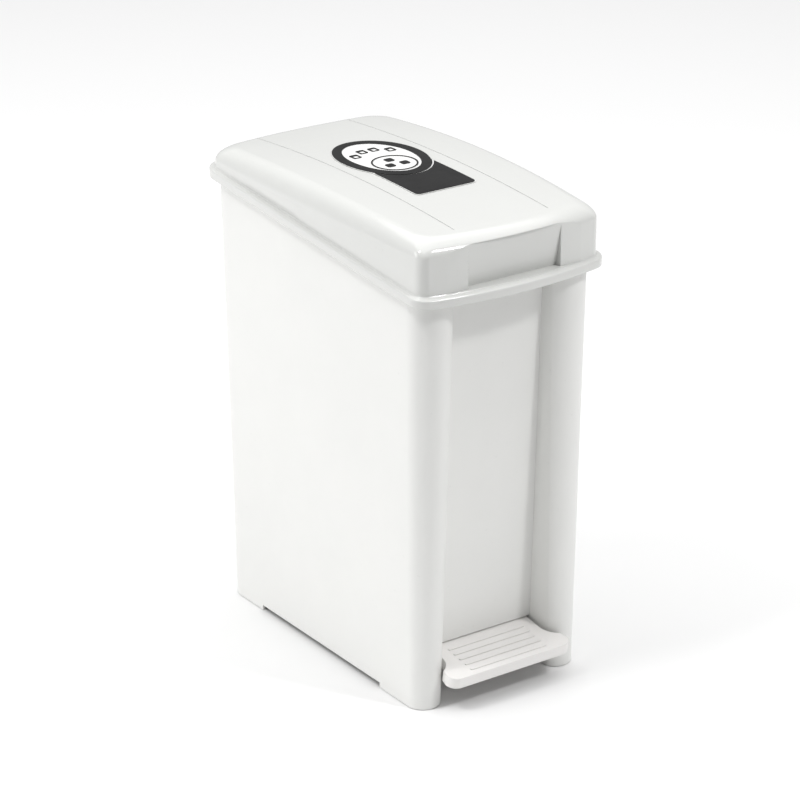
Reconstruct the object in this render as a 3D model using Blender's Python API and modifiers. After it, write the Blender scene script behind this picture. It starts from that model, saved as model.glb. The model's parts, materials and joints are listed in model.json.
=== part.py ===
"""Slim pedal bin: a tapered tub on two round front columns, a domed lid hinged at the back,
a pedal lever under the tub, a lift rod that links the two, and a removable inner bucket.

Metres, +Z up. X is across the bin, the pedal points along -Y, and the feet stand on Z = 0.
Every piece hangs from one empty, which puts the middle of the bin's footprint on the origin.
"""

import math

import bmesh
import bpy
from mathutils import Matrix, Vector

OBJECT_NAME = "pedal_bin"

# Fits
GAP = 0.0003            # between pieces that touch
PIN_GAP = 0.0003        # round a pin in its hole
WORKING_GAP = 0.0012    # between pieces that move past each other

# Tub: sizes at the floor (FOOT) and at the height of the lid's rim at the front (RIM)
FRONT_HEIGHT = 0.340
FOOT_HALF_WIDTH = 0.0785
RIM_HALF_WIDTH = 0.0823
FOOT_FRONT = 0.1500
RIM_FRONT = 0.1571
FOOT_BACK = 0.1224
RIM_BACK = 0.1291
FOOT_COLUMN_RADIUS = 0.0139
RIM_COLUMN_RADIUS = 0.0195
FOOT_PANEL_RECESS = 0.0299
RIM_PANEL_RECESS = 0.0170
REAR_CORNER_RADIUS = 0.0160
WALL = 0.0025
RIM_SLOPE = 0.088       # rise of the rim per metre of depth
FLOOR_HEIGHT = 0.052    # underside of the tub's floor
SILL_HEIGHT = 0.0383    # bottom edge of the front panel
STAND_OFF = 0.0006      # moulded feet above the ground, which only the pads touch
ARCH_HEIGHT = 0.0049    # bottom edge between the feet
REAR_FOOT_LENGTH = 0.0500
FRONT_FOOT_LENGTH = 0.0530
ARC_STEPS = 7
EDGE_STEPS = 9

# Foot pads
PAD_RADIUS = 0.0080
PAD_THICKNESS = 0.0023
FOOT_PLATE = 0.0050

# Lid
LIP_REACH = 0.0063      # rim of the lid outside the tub
LIP_HEIGHT = 0.0062
LIP_CROWN = 0.0020      # rise of the rim's top from its edge to the foot of the dome
LIP_EDGE = 0.0010
TUB_INSERT = 0.0053     # how far the tub's edge stands up inside the lid's rim
DOME_REACH = 0.0016      # foot of the dome outside the tub
LID_FRONT_REACH = 0.0010        # lid's front corners in front of the tub's
LID_BACK_REACH = 0.0032         # lid's back corners behind the tub's
LID_FRONT_CORNER = 0.0100
LID_BACK_CORNER = 0.0150
CORNER_GROWTH = 0.60    # corners widen upward by this share of the roll
SHOULDER_HEIGHT = 0.0372        # top of the upright wall above the front rim
ROLL_WIDTH = 0.0130
LID_RISE = 0.0555       # crest of the lid above the front rim
CREST_Y = -0.0092
ARCH_RADIUS = 1.5600    # of the lid's top, from front to back
LID_WALL = 0.0025
FRONT_SWELL = math.radians(10.4)        # half angle of the arc that the lid's front edge follows
BACK_SWELL = math.radians(7.7)
SIDE_SWELL = math.radians(4.2)          # of the dome's sides above their foot
OPEN_ANGLE = math.radians(66)
BAND_HALF_WIDTH = 0.0620
BAND_INSET = 0.0022
BROW_DROP = 0.0125      # top of the front band below the lid's crest
GRIP_HALF_WIDTH = 0.0430
GRIP_DEPTH = 0.0053
LINE_OFFSET = 0.0434
LINE_WIDTH = 0.0008
LINE_DEPTH = 0.0004

# Lid label
LABEL_HALF_WIDTH = 0.0347
LABEL_HALF_LENGTH = 0.0481
LABEL_CENTRE = 0.0121
LABEL_BAND = 0.0085
TAB_HALF_WIDTH = 0.0285
TAB_END = -0.0760
TAB_CORNER = 0.0040
LABEL_THICKNESS = 0.0002

# Lid hinge
HINGE_SET_BACK = 0.0075         # pivot behind the tub's rear wall
HINGE_DROP = 0.0118             # pivot below the lid's rim
KNUCKLE_RADIUS = 0.0055
KNUCKLE_WIDTH = 0.0080
KNUCKLE_OFFSET = 0.0400
EAR_WIDTH = 0.0045
EAR_RADIUS = 0.0060
HINGE_PIN_RADIUS = 0.0025

# Lid crank and lift rod
CRANK_REACH = 0.0230            # rod centre in front of the lid's pivot
CRANK_WIDTH = 0.0080
CRANK_MARGIN = 0.0025
CRANK_PLATE = 0.0030
CRANK_PLATE_HALF_WIDTH = 0.0160
CRANK_DROP = 0.0112             # crank plate's top below the lid's outer face
SLOT_PLAY = 0.0009              # sideways play of the rod's hook in the crank's slot
ROD_RADIUS = 0.0020
ROD_SIDE = -0.0080
ROD_BEND = 0.0040
HOOK_REACH = 0.0085
RETAINER_RADIUS = 0.0045
RETAINER_WIDTH = 0.0025
GUIDE_HEIGHT = 0.0100
GUIDE_HALF_WIDTH = 0.0070
GUIDE_LEVELS = (0.120, 0.290)

# Pedal
PEDAL_PIVOT_HEIGHT = 0.0280
PEDAL_PIVOT_BACK = 0.0930       # pivot behind the front face of the columns' feet line
PEDAL_PIN_RADIUS = 0.0030
HUB_RADIUS = 0.0075
HUB_HALF_WIDTH = 0.0210
TREAD_SLOPE = math.radians(8.65)
TREAD_LENGTH = 0.0465           # front of the panel to the front edge of the tread
TREAD_DEPTH = 0.0090
TREAD_TOP = 0.0028
TREAD_WALL = 0.0025
TREAD_TAIL = 0.0090
TREAD_HALF_WIDTH = 0.0585
TREAD_CORNER = 0.0090
COLUMN_CLEARANCE = 0.0026
TREAD_SWING = 0.0018            # extra room in front of the columns, towards which the tread swings
RIB_COUNT = 5
RIB_PITCH = 0.0075
RIB_WIDTH = 0.0026
RIB_RISE = 0.0008
RIB_HALF_LENGTH = 0.0370
TREAD_FOOT = 0.0015
LEVER_HALF_WIDTH = 0.0160
LEVER_WALL = 0.0026
LEVER_TIP_RADIUS = 0.0048
LEVER_TIP_WIDTH = 0.0080
LEVER_HOLE_PLAY = 0.0006
LEVER_EYE_SET = 0.0003          # eye in front of the rod at rest: the lever's arc takes it behind

# Pedal brackets and screws
BRACKET_WIDTH = 0.0060
BRACKET_FLANGE = 0.0030
BRACKET_HALF_DEPTH = 0.0140
BRACKET_FOOT = 0.0150
BOSS_RADIUS = 0.0042
BOSS_DROP = 0.0080
SCREW_RADIUS = 0.0015
SCREW_HEAD_RADIUS = 0.0032
SCREW_HEAD_HEIGHT = 0.0020
SCREW_LENGTH = 0.0090

# Inner bucket and its bail
BUCKET_HEIGHT = 0.2300
BUCKET_CLEARANCE = 0.0030       # lip to the tub's inside
BUCKET_BACK_CLEARANCE = 0.0020  # lip to the rod guides
BUCKET_LIP = 0.0060
BUCKET_WALL = 0.0020
BUCKET_TAPER = 0.0020           # draft that the bucket has beyond the tub's own, each side
BUCKET_CORNER = 0.0200
EAR_RISE = 0.0100
EAR_HALF_LENGTH = 0.0080
BAIL_RADIUS = 0.0018
BAIL_RISE = 0.0052              # bail's axis above the lip
BAIL_ARM = 0.0780
BAIL_CORNER = 0.0120
BAIL_CENTRE = -0.0050
GRIP_TUBE_RADIUS = 0.0055
GRIP_TUBE_LENGTH = 0.0700

# Derived levels and places
RIM_DATUM = RIM_FRONT + 0.0030
HEIGHT_AT_TOP = 1.20 * FRONT_HEIGHT
LID_TOP = FRONT_HEIGHT + LID_RISE
LID_MIRROR = 2 * ARC_STEPS + EDGE_STEPS         # sum of the indices of two mirrored points of a lid loop
PIVOT_Y = RIM_BACK + HINGE_SET_BACK
PIVOT_Z = FRONT_HEIGHT + RIM_SLOPE * (PIVOT_Y + RIM_DATUM) - HINGE_DROP
HALF_OPEN = OPEN_ANGLE / 2
ROD_Y = PIVOT_Y - CRANK_REACH
ROD_STROKE = 2 * CRANK_REACH * math.tan(HALF_OPEN)
HOOK_TOP = PIVOT_Z - ROD_STROKE / 2
HOOK_BOTTOM = PEDAL_PIVOT_HEIGHT - ROD_STROKE / 2
PEDAL_PIVOT_Y = -FOOT_FRONT - 0.0080 + PEDAL_PIVOT_BACK
EYE_Y = ROD_Y - LEVER_EYE_SET
FLOOR_TOP = FLOOR_HEIGHT + WALL
BUCKET_BASE = FLOOR_TOP + GAP
BUCKET_TOP = BUCKET_BASE + BUCKET_HEIGHT
GUIDE_FRONT = ROD_Y - ROD_RADIUS - PIN_GAP - 0.0020
LIP_CORNER = LID_FRONT_CORNER + LIP_REACH - DOME_REACH
SWELL_CHORD = RIM_HALF_WIDTH + LIP_REACH - LIP_CORNER * (1 - math.sin(FRONT_SWELL))
SWELL_RISE = (SWELL_CHORD / math.sin(FRONT_SWELL) - LIP_CORNER) * (1 - math.cos(FRONT_SWELL))
FRONT_REACH = RIM_FRONT + LID_FRONT_REACH + LIP_REACH + SWELL_RISE
BACK_CORNER = LID_BACK_CORNER + LIP_REACH - DOME_REACH
BACK_CHORD = RIM_HALF_WIDTH + LIP_REACH - BACK_CORNER * (1 - math.sin(BACK_SWELL))
BACK_RISE = (BACK_CHORD / math.sin(BACK_SWELL) - BACK_CORNER) * (1 - math.cos(BACK_SWELL))
BACK_REACH = max(PIVOT_Y + EAR_RADIUS, RIM_BACK + LID_BACK_REACH + LIP_REACH + BACK_RISE)
CENTRE_SHIFT = (FRONT_REACH - BACK_REACH) / 2

WHITE_PLASTIC = (0.86, 0.87, 0.84)


# ---------------------------------------------------------------- scene and helpers

def clear_scene():
    """Remove every object so that the model starts from an empty scene."""
    for item in list(bpy.data.objects):
        bpy.data.objects.remove(item, do_unlink=True)


def make_collection(name):
    """Return a new collection linked to the scene."""
    collection = bpy.data.collections.new(name)
    bpy.context.scene.collection.children.link(collection)
    return collection


def make_material(name, colour, roughness, metallic=0.0):
    """Return a Principled material of one colour."""
    material = bpy.data.materials.new(name)
    material.use_nodes = True
    shader = material.node_tree.nodes["Principled BSDF"]
    shader.inputs["Base Color"].default_value = (*colour, 1.0)
    shader.inputs["Roughness"].default_value = roughness
    shader.inputs["Metallic"].default_value = metallic
    return material


def add_object(name, mesh, matrix=None):
    """Link a mesh as a new object into the scene's own collection."""
    item = bpy.data.objects.new(name, mesh)
    bpy.context.scene.collection.objects.link(item)
    if matrix is not None:
        item.matrix_world = matrix
    return item


def mesh_from(bm, name):
    """Turn a bmesh into a mesh with its faces pointing outward."""
    bmesh.ops.recalc_face_normals(bm, faces=bm.faces)
    mesh = bpy.data.meshes.new(name)
    bm.to_mesh(mesh)
    bm.free()
    return mesh


def box(name, low, high):
    """A box between two corners."""
    size = Vector(high) - Vector(low)
    middle = (Vector(high) + Vector(low)) / 2
    bm = bmesh.new()
    bmesh.ops.create_cube(bm, size=1.0, matrix=Matrix.Translation(middle) @ Matrix.Diagonal((*size, 1.0)))
    return add_object(name, mesh_from(bm, name))


def axis_matrix(axis):
    """Rotation that lays the Z axis along X, Y or Z."""
    turns = {"X": Matrix.Rotation(math.pi / 2, 4, "Y"), "Y": Matrix.Rotation(-math.pi / 2, 4, "X"),
             "Z": Matrix.Identity(4)}
    return turns[axis]


def cylinder(name, centre, axis, radius, length, steps=28):
    """A cylinder along X, Y or Z about its centre."""
    bm = bmesh.new()
    matrix = Matrix.Translation(centre) @ axis_matrix(axis)
    bmesh.ops.create_cone(bm, cap_ends=True, segments=steps, radius1=radius, radius2=radius,
                          depth=length, matrix=matrix)
    return add_object(name, mesh_from(bm, name))


def loft(name, loops, mirror=None):
    """A closed solid through loops of equal point counts, with a flat cap at each end.

    With mirror, which is the sum of the indices of two mirrored points, the last loop is
    instead closed by strips that run straight across, so that the cap can be arched.
    """
    bm = bmesh.new()
    rows = [[bm.verts.new(point) for point in loop] for loop in loops]
    count = len(rows[0])
    for lower, upper in zip(rows, rows[1:]):
        for index in range(count):
            after = (index + 1) % count
            bm.faces.new((lower[index], lower[after], upper[after], upper[index]))
    bm.faces.new(rows[0])
    if mirror is None:
        bm.faces.new(rows[-1])
    else:
        close_with_strips(bm, rows[-1], mirror)
        bmesh.ops.triangulate(bm, faces=[face for face in bm.faces if len(face.verts) == 4])
    return add_object(name, mesh_from(bm, name))


def close_with_strips(bm, row, mirror):
    """Close a mirrored loop by strips that join each pair of mirrored points to the next pair."""
    count = len(row)
    first = (mirror + 1) // 2
    pairs = [(row[(mirror - first - step) % count], row[first + step]) for step in range(count // 2)]
    for (near_right, near_left), (far_right, far_left) in zip(pairs, pairs[1:]):
        bm.faces.new((near_right, near_left, far_left, far_right))


def mesh_of_curve(curve_object):
    """Replace a curve object by its mesh, with the caps welded on."""
    name = curve_object.name
    evaluated = curve_object.evaluated_get(bpy.context.evaluated_depsgraph_get())
    mesh = bpy.data.meshes.new_from_object(evaluated)
    bm = bmesh.new()
    bm.from_mesh(mesh)
    bmesh.ops.remove_doubles(bm, verts=bm.verts, dist=1e-6)
    bmesh.ops.recalc_face_normals(bm, faces=bm.faces)
    bm.to_mesh(mesh)
    bm.free()
    matrix = curve_object.matrix_world.copy()
    bpy.data.objects.remove(curve_object, do_unlink=True)
    return add_object(name, mesh, matrix)


PLANES = {
    "XY": Matrix.Identity(4),
    "YZ": Matrix(((0, 0, 1, 0), (1, 0, 0, 0), (0, 1, 0, 0), (0, 0, 0, 1))),
}


def slab(name, outline, plane, start, end):
    """A flat outline in the XY or YZ plane, pulled from start to end along the third axis."""
    curve = bpy.data.curves.new(name, "CURVE")
    curve.dimensions = "2D"
    curve.fill_mode = "BOTH"
    curve.extrude = (end - start) / 2
    spline = curve.splines.new("POLY")
    spline.points.add(len(outline) - 1)
    for point, place in zip(spline.points, outline):
        point.co = (place[0], place[1], 0.0, 1.0)
    spline.use_cyclic_u = True
    item = add_object(name, curve, PLANES[plane] @ Matrix.Translation((0, 0, (start + end) / 2)))
    bpy.context.view_layer.update()
    return mesh_of_curve(item)


def wire(name, points, radius, resolution=2):
    """A round wire with closed ends through a list of points."""
    curve = bpy.data.curves.new(name, "CURVE")
    curve.dimensions = "3D"
    curve.bevel_depth = radius
    curve.bevel_resolution = resolution
    curve.use_fill_caps = True
    spline = curve.splines.new("POLY")
    spline.points.add(len(points) - 1)
    for point, place in zip(spline.points, points):
        point.co = (*place, 1.0)
    item = add_object(name, curve)
    bpy.context.view_layer.update()
    return mesh_of_curve(item)


def turned(name, profile, place, steps=24):
    """A profile of (radius, height) points, turned about a vertical axis through a place."""
    bm = bmesh.new()
    verts = [bm.verts.new((radius, 0.0, height)) for radius, height in profile]
    for first, second in zip(verts, verts[1:]):
        bm.edges.new((first, second))
    mesh = bpy.data.meshes.new(name)
    bm.to_mesh(mesh)
    bm.free()
    item = add_object(name, mesh, Matrix.Translation(place))
    screw = item.modifiers.new("Screw", "SCREW")
    screw.steps = steps
    screw.render_steps = steps
    screw.use_merge_vertices = True
    screw.merge_threshold = 0.00001
    return item


def combine(target, tool, operation):
    """Join a tool to a target or cut it out of the target, and put the tool among the cutters."""
    boolean = target.modifiers.new(operation.title(), "BOOLEAN")
    boolean.operation = operation
    boolean.object = tool
    for collection in list(tool.users_collection):
        collection.objects.unlink(tool)
    cutters.objects.link(tool)
    tool.hide_render = True
    tool.display_type = "WIRE"


def join(target, tool):
    combine(target, tool, "UNION")


def cut(target, tool):
    combine(target, tool, "DIFFERENCE")


def solve_as_manifold(item):
    """Use the manifold solver, which suits cuts through sloping faces."""
    for modifier in item.modifiers:
        if modifier.type == "BOOLEAN":
            modifier.solver = "MANIFOLD"


def soften(item, width, segments=2, angle=40):
    """Round the edges that are sharper than an angle."""
    bevel = item.modifiers.new("Bevel", "BEVEL")
    bevel.width = width
    bevel.segments = segments
    bevel.limit_method = "ANGLE"
    bevel.angle_limit = math.radians(angle)


def finish(item, material, pivot=None):
    """Give a piece its material and shading, put its origin on its pivot and hang it on the bin."""
    if pivot is not None:
        shift = Matrix.Translation(-Vector(pivot)) @ item.matrix_world
        item.data.transform(shift)
        item.matrix_world = Matrix.Translation(pivot)
    item.data.materials.clear()
    item.data.materials.append(material)
    item.data.shade_smooth()
    item.data.set_sharp_from_angle(angle=math.radians(35))
    for collection in list(item.users_collection):
        collection.objects.unlink(item)
    parts.objects.link(item)
    item.parent = datum
    return item


def arc(centre_x, centre_y, radius, start, end, steps=ARC_STEPS):
    """Points along an arc, both ends included, with angles in degrees."""
    angles = [math.radians(start + (end - start) * step / steps) for step in range(steps + 1)]
    return [(centre_x + radius * math.cos(angle), centre_y + radius * math.sin(angle)) for angle in angles]


def rounded_rectangle(half_width, front, back, radius, steps=ARC_STEPS):
    """Outline of a rectangle with round corners, from y = front to y = back."""
    inner = half_width - radius
    points = arc(inner, back - radius, radius, 0, 90, steps)
    points += arc(-inner, back - radius, radius, 90, 180, steps)
    points += arc(-inner, front + radius, radius, 180, 270, steps)
    points += arc(inner, front + radius, radius, 270, 360, steps)
    return points


# ---------------------------------------------------------------- tub

def between(foot, rim, height):
    """A tub size at a height, from its values at the foot and at the rim."""
    return foot + (rim - foot) * height / FRONT_HEIGHT


def half_width_at(height):
    return between(FOOT_HALF_WIDTH, RIM_HALF_WIDTH, height)


def front_at(height):
    return between(FOOT_FRONT, RIM_FRONT, height)


def back_at(height):
    return between(FOOT_BACK, RIM_BACK, height)


def column_radius_at(height):
    return between(FOOT_COLUMN_RADIUS, RIM_COLUMN_RADIUS, height)


def panel_at(height):
    """How far in front of the middle the front panel's face lies."""
    return front_at(height) - between(FOOT_PANEL_RECESS, RIM_PANEL_RECESS, height)


def rim_height(y):
    """Height of the lid rim's lower edge at a depth."""
    return FRONT_HEIGHT + RIM_SLOPE * (y + RIM_DATUM)


def tub_outline(height, inset):
    """Plan of the tub: round rear corners, two round columns and the panel set back between them."""
    half = half_width_at(height) - inset
    front = front_at(height) - inset
    back = back_at(height) - inset
    corner = REAR_CORNER_RADIUS - inset
    column = column_radius_at(height) - inset
    panel = panel_at(height) - inset
    flank = half - 2 * column
    points = arc(half - corner, back - corner, corner, 0, 90)
    points += arc(corner - half, back - corner, corner, 90, 180)
    points += arc(column - half, column - front, column, 180, 330, 12)
    points += [(-flank, -panel), (flank, -panel)]
    points += arc(half - column, column - front, column, 210, 360, 12)
    return [(x, y, height) for x, y in points]


def tub_solid(name, low, high, inset):
    return loft(name, [tub_outline(low, inset), tub_outline(high, inset)])


def above_rim(name, rise):
    """Everything above the sloping plane that lies a given rise over the lid's rim."""
    reach = 0.5
    profile = [(-reach, rim_height(-reach) + rise), (reach, rim_height(reach) + rise),
               (reach, 2 * reach), (-reach, 2 * reach)]
    return slab(name, profile, "YZ", -reach, reach)


def add_feet(tub):
    """Moulded feet under the columns and the rear corners, with a pocket for each pad."""
    for x, y, radius in foot_places():
        plate = cylinder("foot_plate", (x, y, STAND_OFF + FOOT_PLATE / 2), "Z", radius, FOOT_PLATE)
        join(tub, plate)
        depth = PAD_THICKNESS + GAP - STAND_OFF
        pocket = cylinder("pad_pocket", (x, y, STAND_OFF + depth / 2 - WALL / 2), "Z",
                          PAD_RADIUS + PIN_GAP, depth + WALL)
        cut(tub, pocket)


def foot_places():
    """Centre and plate radius of each foot: the front columns, then the rear corners."""
    column = FOOT_COLUMN_RADIUS
    corner = REAR_CORNER_RADIUS
    places = []
    for side in (-1, 1):
        places.append((side * (FOOT_HALF_WIDTH - column), column - FOOT_FRONT, column - WALL / 2))
    for side in (-1, 1):
        places.append((side * (FOOT_HALF_WIDTH - corner), FOOT_BACK - corner, corner - WALL / 2))
    return places


def cut_arches(tub):
    """Raise the bottom edge between the feet, and open the front under the panel for the pedal."""
    far = 0.3
    front_foot = FRONT_FOOT_LENGTH - FOOT_FRONT
    rear_foot = FOOT_BACK - REAR_FOOT_LENGTH
    cut(tub, box("side_arch", (-far, front_foot, -far), (far, rear_foot, ARCH_HEIGHT)))
    rear_half = FOOT_HALF_WIDTH - 2 * REAR_CORNER_RADIUS
    cut(tub, box("rear_arch", (-rear_half, 0, -far), (rear_half, far, ARCH_HEIGHT)))
    low = FOOT_HALF_WIDTH - 2 * FOOT_COLUMN_RADIUS
    high = half_width_at(SILL_HEIGHT) - 2 * column_radius_at(SILL_HEIGHT)
    doorway = [(-low, -WALL), (low, -WALL), (high, SILL_HEIGHT), (-high, SILL_HEIGHT)]
    depth = panel_at(0)
    opening = slab("pedal_doorway", doorway, "XY", -2 * WALL, 3 * WALL)
    upright = Matrix.Translation((0, -depth, 0)) @ Matrix.Rotation(math.pi / 2, 4, "X")
    opening.matrix_world = upright @ opening.matrix_world
    cut(tub, opening)


def boss_places():
    """Centres of the four bosses that the pedal brackets are screwed to."""
    across = HUB_HALF_WIDTH + GAP + BRACKET_WIDTH + BRACKET_FOOT / 2
    along = BRACKET_HALF_DEPTH - BOSS_RADIUS - WALL
    return [(side * across, PEDAL_PIVOT_Y + step * along) for side in (-1, 1) for step in (-1, 1)]


def add_bosses(tub):
    for x, y in boss_places():
        low = FLOOR_HEIGHT - BOSS_DROP
        join(tub, cylinder("bracket_boss", (x, y, low + (BOSS_DROP + WALL / 2) / 2), "Z",
                           BOSS_RADIUS, BOSS_DROP + WALL / 2, 24))
    for x, y in boss_places():
        low = FLOOR_HEIGHT - BOSS_DROP
        cut(tub, cylinder("bracket_screw_hole", (x, y, low + BOSS_DROP / 2 - WALL / 2), "Z",
                          SCREW_RADIUS + PIN_GAP, BOSS_DROP + WALL / 2, 16))


def add_hinge_ears(tub):
    """Two pairs of ears on the rear wall that hold the lid's hinge pins."""
    radius = EAR_RADIUS
    inner = KNUCKLE_WIDTH / 2 + GAP
    for side in (-1, 1):
        for step in (-1, 1):
            near = side * KNUCKLE_OFFSET + step * inner
            far = near + step * EAR_WIDTH
            low, high = min(near, far), max(near, far)
            web = [(RIM_BACK - WALL / 2, PIVOT_Z - 2.2 * radius), (PIVOT_Y, PIVOT_Z - radius),
                   (PIVOT_Y, PIVOT_Z + radius), (RIM_BACK - WALL / 2, PIVOT_Z + radius)]
            join(tub, slab("hinge_ear_web", web, "YZ", low, high))
            join(tub, cylinder("hinge_ear", ((low + high) / 2, PIVOT_Y, PIVOT_Z), "X", radius, high - low))
        reach = KNUCKLE_WIDTH + 4 * EAR_WIDTH
        cut(tub, cylinder("hinge_ear_bore", (side * KNUCKLE_OFFSET, PIVOT_Y, PIVOT_Z), "X",
                          HINGE_PIN_RADIUS + PIN_GAP, reach))


def make_tub(material):
    """The outer tub: walls, columns, a floor for the bucket, feet, bosses and hinge ears."""
    tub = tub_solid("body_shell", STAND_OFF, HEIGHT_AT_TOP, 0.0)
    cut(tub, tub_solid("tub_inside", FLOOR_TOP, HEIGHT_AT_TOP + WALL, WALL))
    cut(tub, tub_solid("tub_underside", -WALL, FLOOR_HEIGHT, WALL))
    cut(tub, above_rim("tub_top", TUB_INSERT))
    cut_arches(tub)
    add_feet(tub)
    add_bosses(tub)
    add_hinge_ears(tub)
    notch = CRANK_WIDTH / 2 + 2 * WORKING_GAP
    cut(tub, box("crank_notch", (-notch, RIM_BACK - 4 * WALL, PIVOT_Z + 0.002), (notch, PIVOT_Y, 0.6)))
    cut(tub, cylinder("rod_hole", (ROD_SIDE, ROD_Y, FLOOR_HEIGHT), "Z", 2 * ROD_RADIUS, 4 * WALL, 24))
    return finish(tub, material)


def make_pad(index, place, material):
    """A round rubber pad in the pocket of one foot."""
    x, y, _ = place
    name = ("front_left", "front_right", "rear_left", "rear_right")[index]
    pad = cylinder("foot_pad_" + name, (x, y, PAD_THICKNESS / 2), "Z", PAD_RADIUS, PAD_THICKNESS, 28)
    return finish(pad, material)


# ---------------------------------------------------------------- lid

def lid_corner(radius, offset):
    """Radius of a lid corner: parallel to the dome's foot outside it, growing inward."""
    beyond = offset - DOME_REACH
    return radius + beyond if beyond > 0 else radius - CORNER_GROWTH * beyond


def lid_outline(offset, level, side_swell=0.0001):
    """Plan of the lid at an offset from the tub, with each edge swelled to a shallow arc."""
    half = RIM_HALF_WIDTH + offset
    front = RIM_FRONT + LID_FRONT_REACH + offset
    back = RIM_BACK + LID_BACK_REACH + offset
    front_radius = lid_corner(LID_FRONT_CORNER, offset)
    back_radius = lid_corner(LID_BACK_CORNER, offset)
    right_front = Vector((half - front_radius, front_radius - front))
    right_back = Vector((half - back_radius, back - back_radius))
    left_back = Vector((-right_back.x, right_back.y))
    left_front = Vector((-right_front.x, right_front.y))
    points = corner_and_edge(right_back, back_radius, 0, side_swell, left_back, back_radius, BACK_SWELL)
    points += corner_and_edge(left_back, back_radius, 90, BACK_SWELL, left_front, front_radius, side_swell)
    points += corner_and_edge(left_front, front_radius, 180, side_swell, right_front, front_radius, FRONT_SWELL)
    points += corner_and_edge(right_front, front_radius, 270, FRONT_SWELL, right_back, back_radius, side_swell)
    return [(x, y, level(y)) for x, y in points]


def corner_and_edge(centre, radius, start, swell_before, next_centre, next_radius, swell_after):
    """Points round one corner, then along the swelled edge up to the next corner."""
    first = start + math.degrees(swell_before)
    last = start + 90 - math.degrees(swell_after)
    points = arc(centre.x, centre.y, radius, first, last)
    outward = Vector((math.cos(math.radians(start + 90)), math.sin(math.radians(start + 90))))
    turn = Vector((outward.y, -outward.x))
    begin = Vector(points[-1])
    end = next_centre + next_radius * (outward * math.cos(swell_after) - turn * math.sin(swell_after))
    bulge = (end - begin).length / 2 * math.tan(swell_after / 2)
    for step in range(1, EDGE_STEPS):
        share = step / EDGE_STEPS
        place = begin.lerp(end, share) + outward * bulge * 4 * share * (1 - share)
        points.append((place.x, place.y))
    return points


def arch_height(y):
    """Height of the lid's arched top at a depth."""
    return LID_TOP - (y - CREST_Y) ** 2 / (2 * ARCH_RADIUS)


def arched_slab(name, low, high, half_width, side=0.0):
    """A slab that follows the lid's arch between two heights above it, over the lid's whole depth."""
    reach = RIM_FRONT - ROLL_WIDTH
    depths = [-reach + (reach + RIM_BACK) * step / 24 for step in range(25)]
    profile = [(y, arch_height(y) + low) for y in depths]
    profile += [(y, arch_height(y) + high) for y in reversed(depths)]
    return slab(name, profile, "YZ", side - half_width, side + half_width)


def dome_loops(wall):
    """Loops from the shoulder of the dome to its crest, set in by a wall thickness."""
    shoulder = FRONT_HEIGHT + SHOULDER_HEIGHT
    loops = []
    steps = 5
    foot = DOME_REACH - wall
    for step in range(steps + 1):
        turn = math.pi / 2 * step / steps
        offset = foot - (ROLL_WIDTH - 0.6 * wall) * (1 - math.cos(turn))
        share = math.sin(turn)
        loops.append(lid_outline(offset, lambda y, s=share: shoulder * (1 - s) + (arch_height(y) - wall) * s,
                                 SIDE_SWELL))
    return loops


def lid_outside():
    """Outer surface of the lid, from the rim's lower edge to its crest."""
    loops = [
        lid_outline(LIP_REACH, rim_height),
        lid_outline(LIP_REACH, lambda y: rim_height(y) + LIP_HEIGHT),
        lid_outline(LIP_REACH - LIP_EDGE, lambda y: rim_height(y) + LIP_HEIGHT + LIP_EDGE),
        lid_outline(DOME_REACH, lambda y: rim_height(y) + LIP_HEIGHT + LIP_CROWN),
    ]
    return loft("lid_shell", loops + dome_loops(0.0), LID_MIRROR)


def lid_inside():
    """Hollow of the lid: the groove that takes the tub's edge, then the inside of the dome."""
    ledge = TUB_INSERT + GAP
    groove = LIP_REACH - LID_WALL
    inner = DOME_REACH - LID_WALL
    loops = [
        lid_outline(groove, lambda y: rim_height(y) - 4 * LID_WALL),
        lid_outline(groove, lambda y: rim_height(y) + ledge),
        lid_outline(inner, lambda y: rim_height(y) + ledge),
    ]
    return loft("lid_hollow", loops + dome_loops(LID_WALL), LID_MIRROR)


def band_cutter(name, grow):
    """Space in front of the flat front band, grown by a wall for the inside."""
    face = RIM_FRONT + LID_FRONT_REACH + DOME_REACH + BAND_INSET - grow
    low = rim_height(-face) + LIP_HEIGHT + LIP_CROWN - grow
    half = BAND_HALF_WIDTH + grow
    return box(name, (-half, -0.3, low), (half, -face, LID_TOP - BROW_DROP + grow))


def grip_cutter(name, grow):
    """Wedge-shaped finger recess in the middle of the front band, grown by a wall for the inside."""
    face = RIM_FRONT + LID_FRONT_REACH + DOME_REACH + BAND_INSET - grow
    low = rim_height(-face) + LIP_HEIGHT + LIP_CROWN - grow
    high = LID_TOP - BROW_DROP - LID_WALL * 0.6 + grow
    profile = [(-0.3, low), (-face + GRIP_DEPTH, low), (-face, high), (-0.3, high)]
    half = GRIP_HALF_WIDTH + grow
    return slab(name, profile, "YZ", -half, half)


def add_knuckles(lid):
    """Arms that run down behind the tub from the rim to the hinge pins."""
    top = rim_height(PIVOT_Y) + TUB_INSERT + LID_WALL / 2
    for side in (-1, 1):
        low = side * KNUCKLE_OFFSET - KNUCKLE_WIDTH / 2
        high = low + KNUCKLE_WIDTH
        join(lid, box("hinge_arm", (low, PIVOT_Y - 0.98 * KNUCKLE_RADIUS, PIVOT_Z),
                      (high, PIVOT_Y + 0.98 * KNUCKLE_RADIUS, top)))
        join(lid, cylinder("hinge_knuckle", (side * KNUCKLE_OFFSET, PIVOT_Y, PIVOT_Z), "X",
                           KNUCKLE_RADIUS, KNUCKLE_WIDTH + 2 * GAP / 3))
        cut(lid, cylinder("hinge_bore", (side * KNUCKLE_OFFSET, PIVOT_Y, PIVOT_Z), "X",
                          HINGE_PIN_RADIUS + PIN_GAP, 2 * KNUCKLE_WIDTH))


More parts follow.
